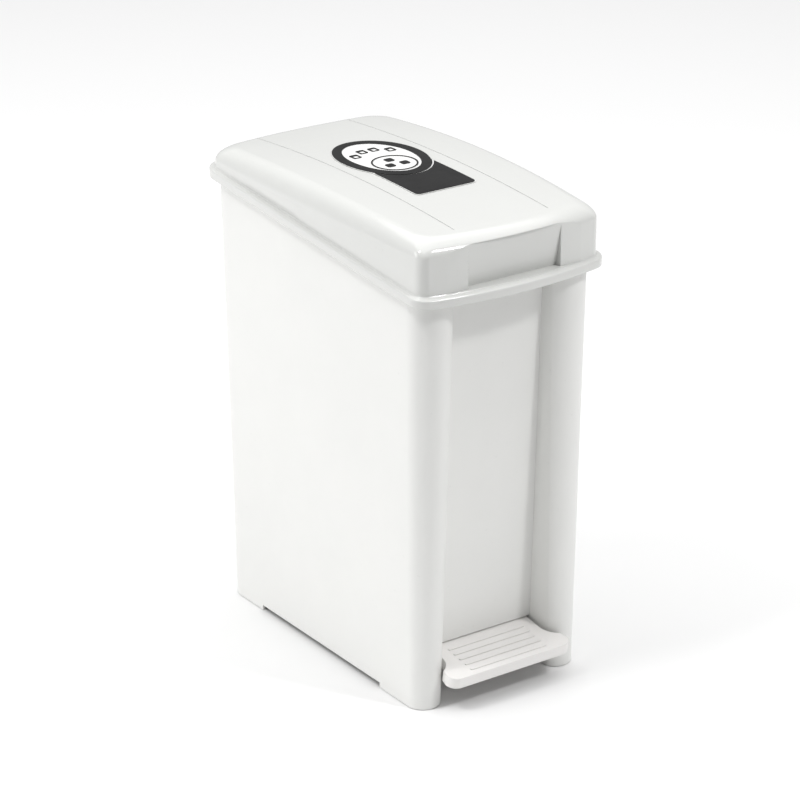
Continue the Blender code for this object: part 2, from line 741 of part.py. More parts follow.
def crank_boss_places():
    reach = CRANK_PLATE_HALF_WIDTH - BOSS_RADIUS - GAP
    return [(side * reach, ROD_Y - 4 * BOSS_RADIUS + WALL) for side in (-1, 1)]


def crank_level():
    """Height of the crank plate's top, tied to the lid's top over its screws."""
    return arch_height(crank_boss_places()[0][1]) - CRANK_DROP


def add_crank_bosses(lid):
    """Two bosses under the lid's top that the crank is screwed to."""
    low = crank_level()
    for x, y in crank_boss_places():
        high = arch_height(y) - LID_WALL / 2
        join(lid, cylinder("crank_boss", (x, y, (low + high) / 2), "Z", BOSS_RADIUS, high - low, 24))
    for x, y in crank_boss_places():
        top = arch_height(y) - 2 * LID_WALL
        cut(lid, cylinder("crank_screw_hole", (x, y, (low + top) / 2 - WALL / 2), "Z",
                          SCREW_RADIUS + PIN_GAP, top - low + WALL, 16))


def cut_top_lines(lid):
    """Two fine lines that run from front to back along the lid's top."""
    for side in (-1, 1):
        cut(lid, arched_slab("top_line", -LINE_DEPTH, WALL, LINE_WIDTH / 2, side * LINE_OFFSET))


def make_lid(material):
    """The lid: rim, dome with a front band and finger grip, hinge arms and crank bosses."""
    lid = lid_outside()
    cut(lid, band_cutter("front_band", 0.0))
    cut(lid, grip_cutter("finger_grip", 0.0))
    hollow = lid_inside()
    cut(hollow, band_cutter("front_band_inside", LID_WALL))
    cut(hollow, grip_cutter("finger_grip_inside", LID_WALL))
    cut(lid, hollow)
    add_knuckles(lid)
    add_crank_bosses(lid)
    cut_top_lines(lid)
    return finish(lid, material, (0, PIVOT_Y, PIVOT_Z))


def label_outline(inset):
    """An oval with a square tab towards the front, as one outline."""
    half_width = LABEL_HALF_WIDTH - inset
    half_length = LABEL_HALF_LENGTH - inset
    tab = TAB_HALF_WIDTH - inset
    meet = math.acos(tab / half_width)
    steps = 40
    points = []
    for step in range(steps + 1):
        angle = -meet + (math.pi + 2 * meet) * step / steps
        points.append((half_width * math.cos(angle), LABEL_CENTRE + half_length * math.sin(angle)))
    end = TAB_END + inset
    points += arc(-tab + TAB_CORNER, end + TAB_CORNER, TAB_CORNER, 180, 270, 4)
    points += arc(tab - TAB_CORNER, end + TAB_CORNER, TAB_CORNER, 270, 360, 4)
    return points


def label_layer(name, inset, low):
    """One thin layer of the label: its outline, laid over the lid's arch at a height above it."""
    reach = LABEL_HALF_WIDTH + WALL
    layer = arched_slab(name, low, low + LABEL_THICKNESS, reach)
    column = slab(name + "_outline", label_outline(inset), "XY", LID_TOP - 4 * WALL, LID_TOP + 4 * WALL)
    combine(layer, column, "INTERSECT")
    return layer


def make_label(sheet_material, print_material):
    """White base sheet on the lid's top, and the dark band and tab printed over it."""
    finish(label_layer("label_sheet", 0.0, GAP), sheet_material, (0, PIVOT_Y, PIVOT_Z))
    band = label_layer("label_print", 0.0005, 2 * GAP + LABEL_THICKNESS)
    window = cylinder("label_window", (0, LABEL_CENTRE, LID_TOP), "Z", LABEL_HALF_WIDTH - LABEL_BAND, 0.02, 40)
    stretch = (LABEL_HALF_LENGTH - LABEL_BAND) / (LABEL_HALF_WIDTH - LABEL_BAND)
    about = Matrix.Translation((0, LABEL_CENTRE, 0))
    window.data.transform(about @ Matrix.Diagonal((1, stretch, 1, 1)) @ about.inverted())
    cut(band, window)
    finish(band, print_material, (0, PIVOT_Y, PIVOT_Z))


def make_hinge_pin(side, material):
    """Steel pin through one knuckle and its two ears."""
    name = "hinge_pin_left" if side < 0 else "hinge_pin_right"
    length = KNUCKLE_WIDTH + 2 * (GAP + EAR_WIDTH) + 2 * GAP
    pin = cylinder(name, (side * KNUCKLE_OFFSET, PIVOT_Y, PIVOT_Z), "X", HINGE_PIN_RADIUS, length)
    return finish(pin, material)


# ---------------------------------------------------------------- crank and rod

def make_crank(material):
    """Tab under the lid with a slot that the rod's upper hook lifts."""
    top = crank_level() - GAP
    inner = CRANK_REACH
    outer = CRANK_REACH / math.cos(HALF_OPEN)
    slot = ROD_RADIUS + SLOT_PLAY
    down = Vector((-math.cos(HALF_OPEN), -math.sin(HALF_OPEN)))
    pivot = Vector((PIVOT_Y, PIVOT_Z))
    near = pivot + down * inner
    far = pivot + down * outer
    edge = slot + CRANK_MARGIN
    start = math.degrees(math.atan2(down.y, down.x))
    profile = arc(far.x, far.y, edge, start - 90, start + 90, 10)[::-1]
    profile = [(far.x - edge, top)] + [p for p in reversed(profile)]
    profile += arc(near.x, near.y, edge, start + 90, start + 150, 6)
    profile += [(near.x + edge * math.cos(math.radians(start + 150)), top)]
    crank = slab("lid_crank", profile, "YZ", -CRANK_WIDTH / 2, CRANK_WIDTH / 2)
    front = crank_boss_places()[0][1] - BOSS_RADIUS - GAP
    plate = box("crank_plate", (-CRANK_PLATE_HALF_WIDTH, front, top - CRANK_PLATE),
                (CRANK_PLATE_HALF_WIDTH, ROD_Y, top))
    join(crank, plate)
    hole = arc(far.x, far.y, slot, start - 90, start + 90, 10)
    hole += arc(near.x, near.y, slot, start + 90, start + 270, 10)
    cut(crank, slab("crank_slot", hole, "YZ", -CRANK_WIDTH, CRANK_WIDTH))
    for x, y in crank_boss_places():
        cut(crank, cylinder("crank_plate_hole", (x, y, top), "Z", SCREW_RADIUS + PIN_GAP, 4 * CRANK_PLATE, 16))
    return finish(crank, material, (0, PIVOT_Y, PIVOT_Z))


def bend(corner, before, after, radius, steps=4):
    """Points round a right-angled bend between two directions."""
    centre = corner - before * radius + after * radius
    points = []
    for step in range(steps + 1):
        angle = math.pi / 2 * step / steps
        points.append(centre - after * radius * math.cos(angle) + before * radius * math.sin(angle))
    return points


def make_rod(material):
    """Steel wire with a hook at each end: the lower one in the pedal, the upper one in the crank."""
    across = Vector((1, 0, 0))
    up = Vector((0, 0, 1))
    low = Vector((ROD_SIDE, ROD_Y, HOOK_BOTTOM))
    high = Vector((ROD_SIDE, ROD_Y, HOOK_TOP))
    points = [Vector((HOOK_REACH, ROD_Y, HOOK_BOTTOM))]
    points += bend(low, -across, up, ROD_BEND)
    points += bend(high, up, across, ROD_BEND)
    points += [Vector((HOOK_REACH, ROD_Y, HOOK_TOP))]
    rod = wire("lift_rod", points, ROD_RADIUS)
    return finish(rod, material)


def make_retainer(name, height, material):
    """Push-on cap that keeps a hook in its hole."""
    start = CRANK_WIDTH / 2 + GAP
    cap = cylinder(name, (start + RETAINER_WIDTH / 2, ROD_Y, height), "X", RETAINER_RADIUS, RETAINER_WIDTH, 24)
    cut(cap, cylinder(name + "_bore", (start, ROD_Y, height), "X", ROD_RADIUS + PIN_GAP, 4 * RETAINER_WIDTH))
    return finish(cap, material)


def make_guide(name, level, material):
    """Block on the rear wall that keeps the rod upright."""
    wall_face = back_at(level - GUIDE_HEIGHT / 2) - WALL - GAP
    guide = box(name, (ROD_SIDE - GUIDE_HALF_WIDTH, GUIDE_FRONT, level - GUIDE_HEIGHT / 2),
                (ROD_SIDE + GUIDE_HALF_WIDTH, wall_face, level + GUIDE_HEIGHT / 2))
    soften(guide, 0.0008)
    cut(guide, cylinder(name + "_bore", (ROD_SIDE, ROD_Y, level), "Z", ROD_RADIUS + PIN_GAP, 2 * GUIDE_HEIGHT))
    return finish(guide, material)


# ---------------------------------------------------------------- pedal

def tread_matrix():
    """Frame of the tread: its origin on top at the panel's face, its Y along the sloping top."""
    level = SILL_HEIGHT - WORKING_GAP
    return Matrix.Translation((0, -panel_at(SILL_HEIGHT), level)) @ Matrix.Rotation(TREAD_SLOPE, 4, "X")


def tread_outline(inset, tail):
    """Plan of the tread: a neck between the columns that widens in front of them."""
    level = PEDAL_PIVOT_HEIGHT
    column = column_radius_at(level)
    centre_x = half_width_at(level) - column
    centre_y = panel_at(SILL_HEIGHT) - front_at(level) + column - TREAD_SWING
    radius = column + COLUMN_CLEARANCE + inset
    corner = TREAD_CORNER - inset
    side = TREAD_HALF_WIDTH - inset
    front = -TREAD_LENGTH + inset
    sweep = 64
    right = arc(side - corner, front + corner, corner, -90, 0, 8)
    right += arc(centre_x, centre_y, radius, 180 + sweep, 180, 8)
    right += [(centre_x - radius, tail)]
    return right + [(-x, y) for x, y in reversed(right)]


def lever_profile(inset):
    """Side view of the lever from the tread's tail to the rod, as depth and height."""
    front = TREAD_TAIL - panel_at(SILL_HEIGHT) - TREAD_WALL / 2 + inset
    hub = 0.9 * HUB_RADIUS
    tip = 0.8 * LEVER_TIP_RADIUS
    open_side = -2 * inset
    return [(front, SILL_HEIGHT - TREAD_DEPTH + open_side),
            (PEDAL_PIVOT_Y - HUB_RADIUS, PEDAL_PIVOT_HEIGHT - hub + open_side),
            (PEDAL_PIVOT_Y + HUB_RADIUS, PEDAL_PIVOT_HEIGHT - hub + open_side),
            (EYE_Y, HOOK_BOTTOM - tip + open_side),
            (EYE_Y, HOOK_BOTTOM + tip - inset),
            (PEDAL_PIVOT_Y + HUB_RADIUS, PEDAL_PIVOT_HEIGHT + hub - inset),
            (front, SILL_HEIGHT - WORKING_GAP - inset)]


def lever_plan(inset):
    """Plan of the lever: wide as far as the pivot, then tapering to the rod's eye."""
    half = LEVER_HALF_WIDTH - inset
    tip = 0.45 * LEVER_TIP_WIDTH - inset
    front = -panel_at(SILL_HEIGHT)
    turn = PEDAL_PIVOT_Y + 2 * HUB_RADIUS
    end = EYE_Y - inset
    return [(half, front), (half, turn), (tip, end), (-tip, end), (-half, turn), (-half, front)]


def make_lever(name, inset):
    lever = slab(name, lever_profile(inset), "YZ", -LEVER_HALF_WIDTH - WALL, LEVER_HALF_WIDTH + WALL)
    low, high = -0.1, 0.2
    combine(lever, slab(name + "_plan", lever_plan(inset), "XY", low, high), "INTERSECT")
    solve_as_manifold(lever)
    return lever


def make_pedal(material):
    """The pedal: a ribbed tread, its lever, the hub on the pivot pin and the eye for the rod."""
    pedal = slab("pedal", tread_outline(0.0, TREAD_TAIL), "XY", -TREAD_DEPTH, 0.0)
    pedal.matrix_world = tread_matrix() @ pedal.matrix_world
    hollow = slab("tread_hollow", tread_outline(TREAD_WALL, TREAD_TAIL - TREAD_WALL), "XY",
                  -2 * TREAD_DEPTH, -TREAD_TOP)
    hollow.matrix_world = tread_matrix() @ hollow.matrix_world
    cut(pedal, hollow)
    pitch_start = -TREAD_LENGTH / 2 + RIB_PITCH * (RIB_COUNT - 1) / 2 - WORKING_GAP
    for index in range(RIB_COUNT):
        y = pitch_start - index * RIB_PITCH
        rib = slab("tread_rib", rounded_rectangle(RIB_HALF_LENGTH, y - RIB_WIDTH / 2, y + RIB_WIDTH / 2,
                                                  0.49 * RIB_WIDTH, 3), "XY", -TREAD_TOP / 2, RIB_RISE)
        rib.matrix_world = tread_matrix() @ rib.matrix_world
        join(pedal, rib)
    for side in (-1, 1):
        x = side * (TREAD_HALF_WIDTH - TREAD_CORNER)
        y = -TREAD_LENGTH + TREAD_CORNER
        low = -TREAD_DEPTH - TREAD_FOOT
        high = -TREAD_TOP / 2
        foot = cylinder("tread_foot", (x, y, (low + high) / 2), "Z", 0.75 * TREAD_CORNER, high - low, 28)
        foot.matrix_world = tread_matrix()
        join(pedal, foot)
    join(pedal, make_lever("pedal_lever", 0.0))
    cut(pedal, make_lever("lever_hollow", LEVER_WALL))
    pivot = (0, PEDAL_PIVOT_Y, PEDAL_PIVOT_HEIGHT)
    join(pedal, cylinder("pedal_hub", pivot, "X", HUB_RADIUS, 2 * HUB_HALF_WIDTH))
    eye = (0, EYE_Y, HOOK_BOTTOM)
    join(pedal, cylinder("rod_eye", eye, "X", LEVER_TIP_RADIUS, LEVER_TIP_WIDTH))
    cut(pedal, cylinder("pedal_bore", pivot, "X", PEDAL_PIN_RADIUS + PIN_GAP, 4 * HUB_HALF_WIDTH))
    cut(pedal, cylinder("rod_eye_bore", eye, "X", ROD_RADIUS + LEVER_HOLE_PLAY, 4 * LEVER_TIP_WIDTH))
    solve_as_manifold(pedal)
    return finish(pedal, material, pivot)


def make_bracket(side, material):
    """Plastic bracket under the tub's floor that carries one end of the pedal's pin."""
    name = "pedal_bracket_left" if side < 0 else "pedal_bracket_right"
    near = HUB_HALF_WIDTH + GAP
    top = FLOOR_HEIGHT - BOSS_DROP - GAP
    low_x, high_x = sorted((side * near, side * (near + BRACKET_WIDTH)))
    reach = HUB_RADIUS + 0.0005
    cheek = arc(PEDAL_PIVOT_Y, PEDAL_PIVOT_HEIGHT, reach, 180, 360, 14)
    cheek += [(PEDAL_PIVOT_Y + reach, top), (PEDAL_PIVOT_Y - reach, top)]
    bracket = slab(name, cheek, "YZ", low_x, high_x)
    foot_low, foot_high = sorted((side * near, side * (near + BRACKET_WIDTH + BRACKET_FOOT)))
    join(bracket, box(name + "_foot", (foot_low, PEDAL_PIVOT_Y - BRACKET_HALF_DEPTH, top - BRACKET_FLANGE),
                      (foot_high, PEDAL_PIVOT_Y + BRACKET_HALF_DEPTH, top)))
    cut(bracket, cylinder(name + "_bore", (side * near, PEDAL_PIVOT_Y, PEDAL_PIVOT_HEIGHT), "X",
                          PEDAL_PIN_RADIUS + PIN_GAP, 4 * BRACKET_WIDTH))
    for x, y in boss_places():
        if x * side > 0:
            cut(bracket, cylinder(name + "_hole", (x, y, top), "Z", SCREW_RADIUS + PIN_GAP, 4 * BRACKET_FLANGE, 16))
    return finish(bracket, material)


def make_pedal_pin(material):
    """Steel pin through the pedal's hub and both brackets."""
    length = 2 * (HUB_HALF_WIDTH + GAP + BRACKET_WIDTH) + 2 * GAP
    pin = cylinder("pedal_pin", (0, PEDAL_PIVOT_Y, PEDAL_PIVOT_HEIGHT), "X", PEDAL_PIN_RADIUS, length)
    return finish(pin, material)


def make_screw(name, place, seat, material):
    """Pan-head screw driven upward: the head bears on a seat height, the shank stands above it."""
    x, y = place
    radius = SCREW_HEAD_RADIUS
    shank = SCREW_RADIUS
    head = SCREW_HEAD_HEIGHT
    profile = [(0.0, SCREW_LENGTH), (0.6 * shank, SCREW_LENGTH), (shank, SCREW_LENGTH - shank), (shank, 0.0),
               (radius, 0.0), (radius, -0.5 * head), (0.72 * radius, -0.85 * head), (0.35 * radius, -head),
               (0.25 * radius, -0.5 * head), (0.0, -0.5 * head)]
    return finish(turned(name, profile, (x, y, seat - GAP), 12), material)


# ---------------------------------------------------------------- bucket

def bucket_sizes():
    """Half width, front and back of the bucket's wall under the lip."""
    half = half_width_at(BUCKET_TOP) - WALL - BUCKET_CLEARANCE - BUCKET_LIP
    front = panel_at(BUCKET_TOP) - WALL - BUCKET_CLEARANCE - BUCKET_LIP
    back = GUIDE_FRONT - BUCKET_BACK_CLEARANCE - BUCKET_LIP
    return half, front, back


def bucket_loop(height, grow):
    """Plan of the bucket at a height; it narrows downward with the tub and a little more."""
    half, front, back = bucket_sizes()
    share = (BUCKET_TOP - height) / BUCKET_HEIGHT
    side_lean = BUCKET_TAPER + half_width_at(BUCKET_TOP) - half_width_at(BUCKET_BASE)
    front_lean = BUCKET_TAPER + panel_at(BUCKET_TOP) - panel_at(BUCKET_BASE)
    back_lean = 2 * BUCKET_TAPER
    corner = BUCKET_CORNER + grow
    points = rounded_rectangle(half + grow - side_lean * share, -front - grow + front_lean * share,
                               back + grow - back_lean * share, corner)
    return [(x, y, height) for x, y in points]


def make_bucket(material):
    """Removable inner bucket with a flat lip, ears for its bail and rests for the folded bail."""
    half = bucket_sizes()[0]
    lip = 0.0025
    bucket = loft("inner_bucket", [bucket_loop(BUCKET_BASE, 0.0), bucket_loop(BUCKET_TOP, 0.0)])
    join(bucket, loft("bucket_lip", [bucket_loop(BUCKET_TOP - lip, BUCKET_LIP),
                                     bucket_loop(BUCKET_TOP, BUCKET_LIP)]))
    axis = BUCKET_TOP + BAIL_RISE
    for side in (-1, 1):
        inner, outer = sorted((side * (half - BUCKET_WALL), side * (half + 0.0005)))
        radius = EAR_HALF_LENGTH
        ear = arc(BAIL_CENTRE, axis + EAR_RISE - radius - BAIL_RISE, radius, 0, 180, 12)
        ear += [(BAIL_CENTRE - radius, BUCKET_TOP - lip), (BAIL_CENTRE + radius, BUCKET_TOP - lip)]
        join(bucket, slab("bail_ear", ear, "YZ", inner, outer))
        for step in (-1, 1):
            y = BAIL_CENTRE + step * 0.8 * BAIL_ARM
            x = side * (half + BUCKET_LIP / 2)
            top = axis - BAIL_RADIUS - GAP
            join(bucket, box("bail_rest", (x - 0.002, y - 0.004, BUCKET_TOP - lip), (x + 0.002, y + 0.004, top)))
    inside = [bucket_loop(BUCKET_BASE + BUCKET_WALL, -BUCKET_WALL), bucket_loop(BUCKET_TOP + lip, -BUCKET_WALL)]
    cut(bucket, loft("bucket_inside", inside))
    cut(bucket, cylinder("bail_bore", (0, BAIL_CENTRE, axis), "X", BAIL_RADIUS + PIN_GAP, 4 * half, 24))
    return finish(bucket, material)


def make_bail(material):
    """Wire bail folded forward, its ends turned inward through the bucket's ears."""
    half = bucket_sizes()[0]
    arm_x = half + BUCKET_LIP / 2
    axis = BUCKET_TOP + BAIL_RISE
    across = Vector((1, 0, 0))
    ahead = Vector((0, -1, 0))
    end = BAIL_CENTRE - BAIL_ARM
    points = [Vector((-half + 2 * BUCKET_WALL, BAIL_CENTRE, axis))]
    points += bend(Vector((-arm_x, BAIL_CENTRE, axis)), -across, ahead, 0.6 * BUCKET_LIP - BAIL_RADIUS / 2, 3)
    points += bend(Vector((-arm_x, end, axis)), ahead, across, BAIL_CORNER, 5)
    points += [Vector((-point.x, point.y, point.z)) for point in reversed(points)]
    bail = wire("bucket_bail", points, BAIL_RADIUS)
    return finish(bail, material, (0, BAIL_CENTRE, axis))


def make_bail_grip(material):
    """Plastic tube round the middle of the bail."""
    axis = BUCKET_TOP + BAIL_RISE
    place = (0, BAIL_CENTRE - BAIL_ARM, axis)
    grip = cylinder("bail_grip", place, "X", GRIP_TUBE_RADIUS, GRIP_TUBE_LENGTH, 28)
    soften(grip, 0.001)
    cut(grip, cylinder("bail_grip_bore", place, "X", BAIL_RADIUS + PIN_GAP, 2 * GRIP_TUBE_LENGTH, 24))
    return finish(grip, material, (0, BAIL_CENTRE, axis))


# ---------------------------------------------------------------- assembly

def build():
    body_plastic = make_material("body_plastic", WHITE_PLASTIC, 0.42)
    lid_plastic = make_material("lid_plastic", (0.88, 0.89, 0.86), 0.22)
    pedal_plastic = make_material("pedal_plastic", (0.88, 0.87, 0.85), 0.35)
    inner_plastic = make_material("inner_plastic", (0.80, 0.81, 0.80), 0.40)
    fitting_plastic = make_material("fitting_plastic", (0.75, 0.76, 0.75), 0.45)
    steel = make_material("zinc_steel", (0.62, 0.62, 0.60), 0.30, 1.0)
    rubber = make_material("pad_rubber", (0.16, 0.16, 0.16), 0.80)
    label_white = make_material("label_white", (0.90, 0.90, 0.89), 0.35)
    label_black = make_material("label_black", (0.02, 0.02, 0.02), 0.35)

    make_tub(body_plastic)
    for index, place in enumerate(foot_places()):
        make_pad(index, place, rubber)
    make_lid(lid_plastic)
    make_label(label_white, label_black)
    for side in (-1, 1):
        make_hinge_pin(side, steel)
    make_crank(fitting_plastic)
    for index, place in enumerate(crank_boss_places()):
        seat = crank_level() - GAP - CRANK_PLATE
        make_screw("crank_screw_%d" % (index + 1), place, seat, steel)
    make_rod(steel)
    make_retainer("rod_cap_upper", HOOK_TOP, fitting_plastic)
    make_retainer("rod_cap_lower", HOOK_BOTTOM, fitting_plastic)
    for name, level in zip(("rod_guide_lower", "rod_guide_upper"), GUIDE_LEVELS):
        make_guide(name, level, fitting_plastic)
    make_pedal(pedal_plastic)
    make_pedal_pin(steel)
    for side in (-1, 1):
        make_bracket(side, fitting_plastic)
    for index, place in enumerate(boss_places()):
        seat = FLOOR_HEIGHT - BOSS_DROP - GAP - BRACKET_FLANGE
        make_screw("bracket_screw_%d" % (index + 1), place, seat, steel)
    make_bucket(inner_plastic)
    make_bail(steel)
    make_bail_grip(fitting_plastic)


clear_scene()
parts = make_collection(OBJECT_NAME)
cutters = make_collection(OBJECT_NAME + "_cutters")
datum = bpy.data.objects.new(OBJECT_NAME + "_datum", None)
parts.objects.link(datum)
build()
for tool in cutters.objects:
    tool.parent = datum
datum.location.y = CENTRE_SHIFT
bpy.context.view_layer.update()
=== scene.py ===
"""Looks of the slim pedal bin, in the frame of its CAD model.

The fine body, lid, pedal and label are built from the same sizes as the CAD pieces, with finer
steps and rounded edges. Every material is procedural.
"""

import json
import math

import bmesh
import bpy
from mathutils import Matrix, Vector

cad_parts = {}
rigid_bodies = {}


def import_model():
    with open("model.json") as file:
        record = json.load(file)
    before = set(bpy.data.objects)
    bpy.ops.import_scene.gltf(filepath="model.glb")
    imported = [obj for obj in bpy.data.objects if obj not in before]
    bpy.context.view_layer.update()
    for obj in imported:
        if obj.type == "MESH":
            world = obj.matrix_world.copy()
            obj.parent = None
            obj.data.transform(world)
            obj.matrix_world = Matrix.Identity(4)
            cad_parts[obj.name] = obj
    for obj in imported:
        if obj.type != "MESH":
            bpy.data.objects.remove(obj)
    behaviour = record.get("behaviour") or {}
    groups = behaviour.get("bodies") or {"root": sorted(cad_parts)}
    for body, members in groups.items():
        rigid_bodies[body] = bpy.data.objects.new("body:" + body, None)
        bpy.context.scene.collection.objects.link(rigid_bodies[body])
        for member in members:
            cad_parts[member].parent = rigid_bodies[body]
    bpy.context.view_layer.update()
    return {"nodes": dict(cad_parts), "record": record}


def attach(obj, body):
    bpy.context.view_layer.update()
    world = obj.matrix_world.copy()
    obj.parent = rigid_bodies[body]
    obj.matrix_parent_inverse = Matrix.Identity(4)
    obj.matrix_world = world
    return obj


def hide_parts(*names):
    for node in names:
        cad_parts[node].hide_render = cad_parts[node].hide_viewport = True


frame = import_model()


# Fits
GAP = 0.0003            # between pieces that touch
PIN_GAP = 0.0003        # round a pin in its hole
WORKING_GAP = 0.0012    # between pieces that move past each other

# Tub: sizes at the floor (FOOT) and at the height of the lid's rim at the front (RIM)
FRONT_HEIGHT = 0.340
FOOT_HALF_WIDTH = 0.0785
RIM_HALF_WIDTH = 0.0823
FOOT_FRONT = 0.1500
RIM_FRONT = 0.1571
FOOT_BACK = 0.1224
RIM_BACK = 0.1291
FOOT_COLUMN_RADIUS = 0.0139
RIM_COLUMN_RADIUS = 0.0195
FOOT_PANEL_RECESS = 0.0299
RIM_PANEL_RECESS = 0.0170
REAR_CORNER_RADIUS = 0.0160
WALL = 0.0025
RIM_SLOPE = 0.088       # rise of the rim per metre of depth
FLOOR_HEIGHT = 0.052    # underside of the tub's floor
SILL_HEIGHT = 0.0383    # bottom edge of the front panel
STAND_OFF = 0.0006      # moulded feet above the ground, which only the pads touch
ARCH_HEIGHT = 0.0049    # bottom edge between the feet
REAR_FOOT_LENGTH = 0.0500
FRONT_FOOT_LENGTH = 0.0530
ARC_STEPS = 24
EDGE_STEPS = 25

# Foot pads
PAD_RADIUS = 0.0080
PAD_THICKNESS = 0.0023
FOOT_PLATE = 0.0050

# Lid
LIP_REACH = 0.0063      # rim of the lid outside the tub
LIP_HEIGHT = 0.0062
LIP_CROWN = 0.0020      # rise of the rim's top from its edge to the foot of the dome
TUB_INSERT = 0.0053     # how far the tub's edge stands up inside the lid's rim
DOME_REACH = 0.0016      # foot of the dome outside the tub
LID_FRONT_REACH = 0.0010        # lid's front corners in front of the tub's
LID_BACK_REACH = 0.0032         # lid's back corners behind the tub's
LID_FRONT_CORNER = 0.0100
LID_BACK_CORNER = 0.0150
CORNER_GROWTH = 0.60    # corners widen upward by this share of the roll
SHOULDER_HEIGHT = 0.0372        # top of the upright wall above the front rim
ROLL_WIDTH = 0.0130
LID_RISE = 0.0555       # crest of the lid above the front rim
CREST_Y = -0.0092
ARCH_RADIUS = 1.5600    # of the lid's top, from front to back
LID_WALL = 0.0025
FRONT_SWELL = math.radians(10.4)        # half angle of the arc that the lid's front edge follows
BACK_SWELL = math.radians(7.7)
SIDE_SWELL = math.radians(4.2)          # of the dome's sides above their foot
OPEN_ANGLE = math.radians(66)
BAND_HALF_WIDTH = 0.0620
BAND_INSET = 0.0022
BROW_DROP = 0.0125      # top of the front band below the lid's crest
GRIP_HALF_WIDTH = 0.0430
GRIP_DEPTH = 0.0053
LINE_OFFSET = 0.0434
LINE_WIDTH = 0.0008
LINE_DEPTH = 0.0004

# Lid label
LABEL_HALF_WIDTH = 0.0347
LABEL_HALF_LENGTH = 0.0481
LABEL_CENTRE = 0.0121
LABEL_BAND = 0.0085
TAB_HALF_WIDTH = 0.0285
TAB_END = -0.0760
TAB_CORNER = 0.0040
LABEL_THICKNESS = 0.0002

# Lid hinge
HINGE_SET_BACK = 0.0075         # pivot behind the tub's rear wall
HINGE_DROP = 0.0118             # pivot below the lid's rim
KNUCKLE_RADIUS = 0.0055
KNUCKLE_WIDTH = 0.0080
KNUCKLE_OFFSET = 0.0400
EAR_WIDTH = 0.0045
EAR_RADIUS = 0.0060
HINGE_PIN_RADIUS = 0.0025

# Lid crank and lift rod
CRANK_REACH = 0.0230            # rod centre in front of the lid's pivot
CRANK_WIDTH = 0.0080
CRANK_PLATE_HALF_WIDTH = 0.0160
CRANK_DROP = 0.0112             # crank plate's top below the lid's outer face
ROD_RADIUS = 0.0020
ROD_SIDE = -0.0080

# Pedal
PEDAL_PIVOT_HEIGHT = 0.0280
PEDAL_PIVOT_BACK = 0.0930       # pivot behind the front face of the columns' feet line
PEDAL_PIN_RADIUS = 0.0030
HUB_RADIUS = 0.0075
HUB_HALF_WIDTH = 0.0210
TREAD_SLOPE = math.radians(8.65)
TREAD_LENGTH = 0.0465           # front of the panel to the front edge of the tread
TREAD_DEPTH = 0.0090
TREAD_TOP = 0.0028
TREAD_WALL = 0.0025
TREAD_TAIL = 0.0090
TREAD_HALF_WIDTH = 0.0585
TREAD_CORNER = 0.0090
COLUMN_CLEARANCE = 0.0026
TREAD_SWING = 0.0018            # extra room in front of the columns, towards which the tread swings
RIB_COUNT = 5
RIB_PITCH = 0.0075
RIB_WIDTH = 0.0026
RIB_RISE = 0.0008
RIB_HALF_LENGTH = 0.0370
TREAD_FOOT = 0.0015
LEVER_HALF_WIDTH = 0.0160
LEVER_WALL = 0.0026
LEVER_TIP_RADIUS = 0.0048
LEVER_TIP_WIDTH = 0.0080
LEVER_HOLE_PLAY = 0.0006
LEVER_EYE_SET = 0.0003          # eye in front of the rod at rest: the lever's arc takes it behind

# Pedal brackets and screws
BRACKET_WIDTH = 0.0060
BRACKET_HALF_DEPTH = 0.0140
BRACKET_FOOT = 0.0150
BOSS_RADIUS = 0.0042
BOSS_DROP = 0.0080
SCREW_RADIUS = 0.0015

# Derived levels and places
RIM_DATUM = RIM_FRONT + 0.0030
HEIGHT_AT_TOP = 1.20 * FRONT_HEIGHT
LID_TOP = FRONT_HEIGHT + LID_RISE
LID_MIRROR = 2 * ARC_STEPS + EDGE_STEPS         # sum of the indices of two mirrored points of a lid loop
PIVOT_Y = RIM_BACK + HINGE_SET_BACK
PIVOT_Z = FRONT_HEIGHT + RIM_SLOPE * (PIVOT_Y + RIM_DATUM) - HINGE_DROP
HALF_OPEN = OPEN_ANGLE / 2
ROD_Y = PIVOT_Y - CRANK_REACH
ROD_STROKE = 2 * CRANK_REACH * math.tan(HALF_OPEN)
HOOK_BOTTOM = PEDAL_PIVOT_HEIGHT - ROD_STROKE / 2
PEDAL_PIVOT_Y = -FOOT_FRONT - 0.0080 + PEDAL_PIVOT_BACK
EYE_Y = ROD_Y - LEVER_EYE_SET
FLOOR_TOP = FLOOR_HEIGHT + WALL
LIP_CORNER = LID_FRONT_CORNER + LIP_REACH - DOME_REACH
SWELL_CHORD = RIM_HALF_WIDTH + LIP_REACH - LIP_CORNER * (1 - math.sin(FRONT_SWELL))
SWELL_RISE = (SWELL_CHORD / math.sin(FRONT_SWELL) - LIP_CORNER) * (1 - math.cos(FRONT_SWELL))
FRONT_REACH = RIM_FRONT + LID_FRONT_REACH + LIP_REACH + SWELL_RISE
BACK_CORNER = LID_BACK_CORNER + LIP_REACH - DOME_REACH
BACK_CHORD = RIM_HALF_WIDTH + LIP_REACH - BACK_CORNER * (1 - math.sin(BACK_SWELL))
BACK_RISE = (BACK_CHORD / math.sin(BACK_SWELL) - BACK_CORNER) * (1 - math.cos(BACK_SWELL))
BACK_REACH = max(PIVOT_Y + EAR_RADIUS, RIM_BACK + LID_BACK_REACH + LIP_REACH + BACK_RISE)
CENTRE_SHIFT = (FRONT_REACH - BACK_REACH) / 2

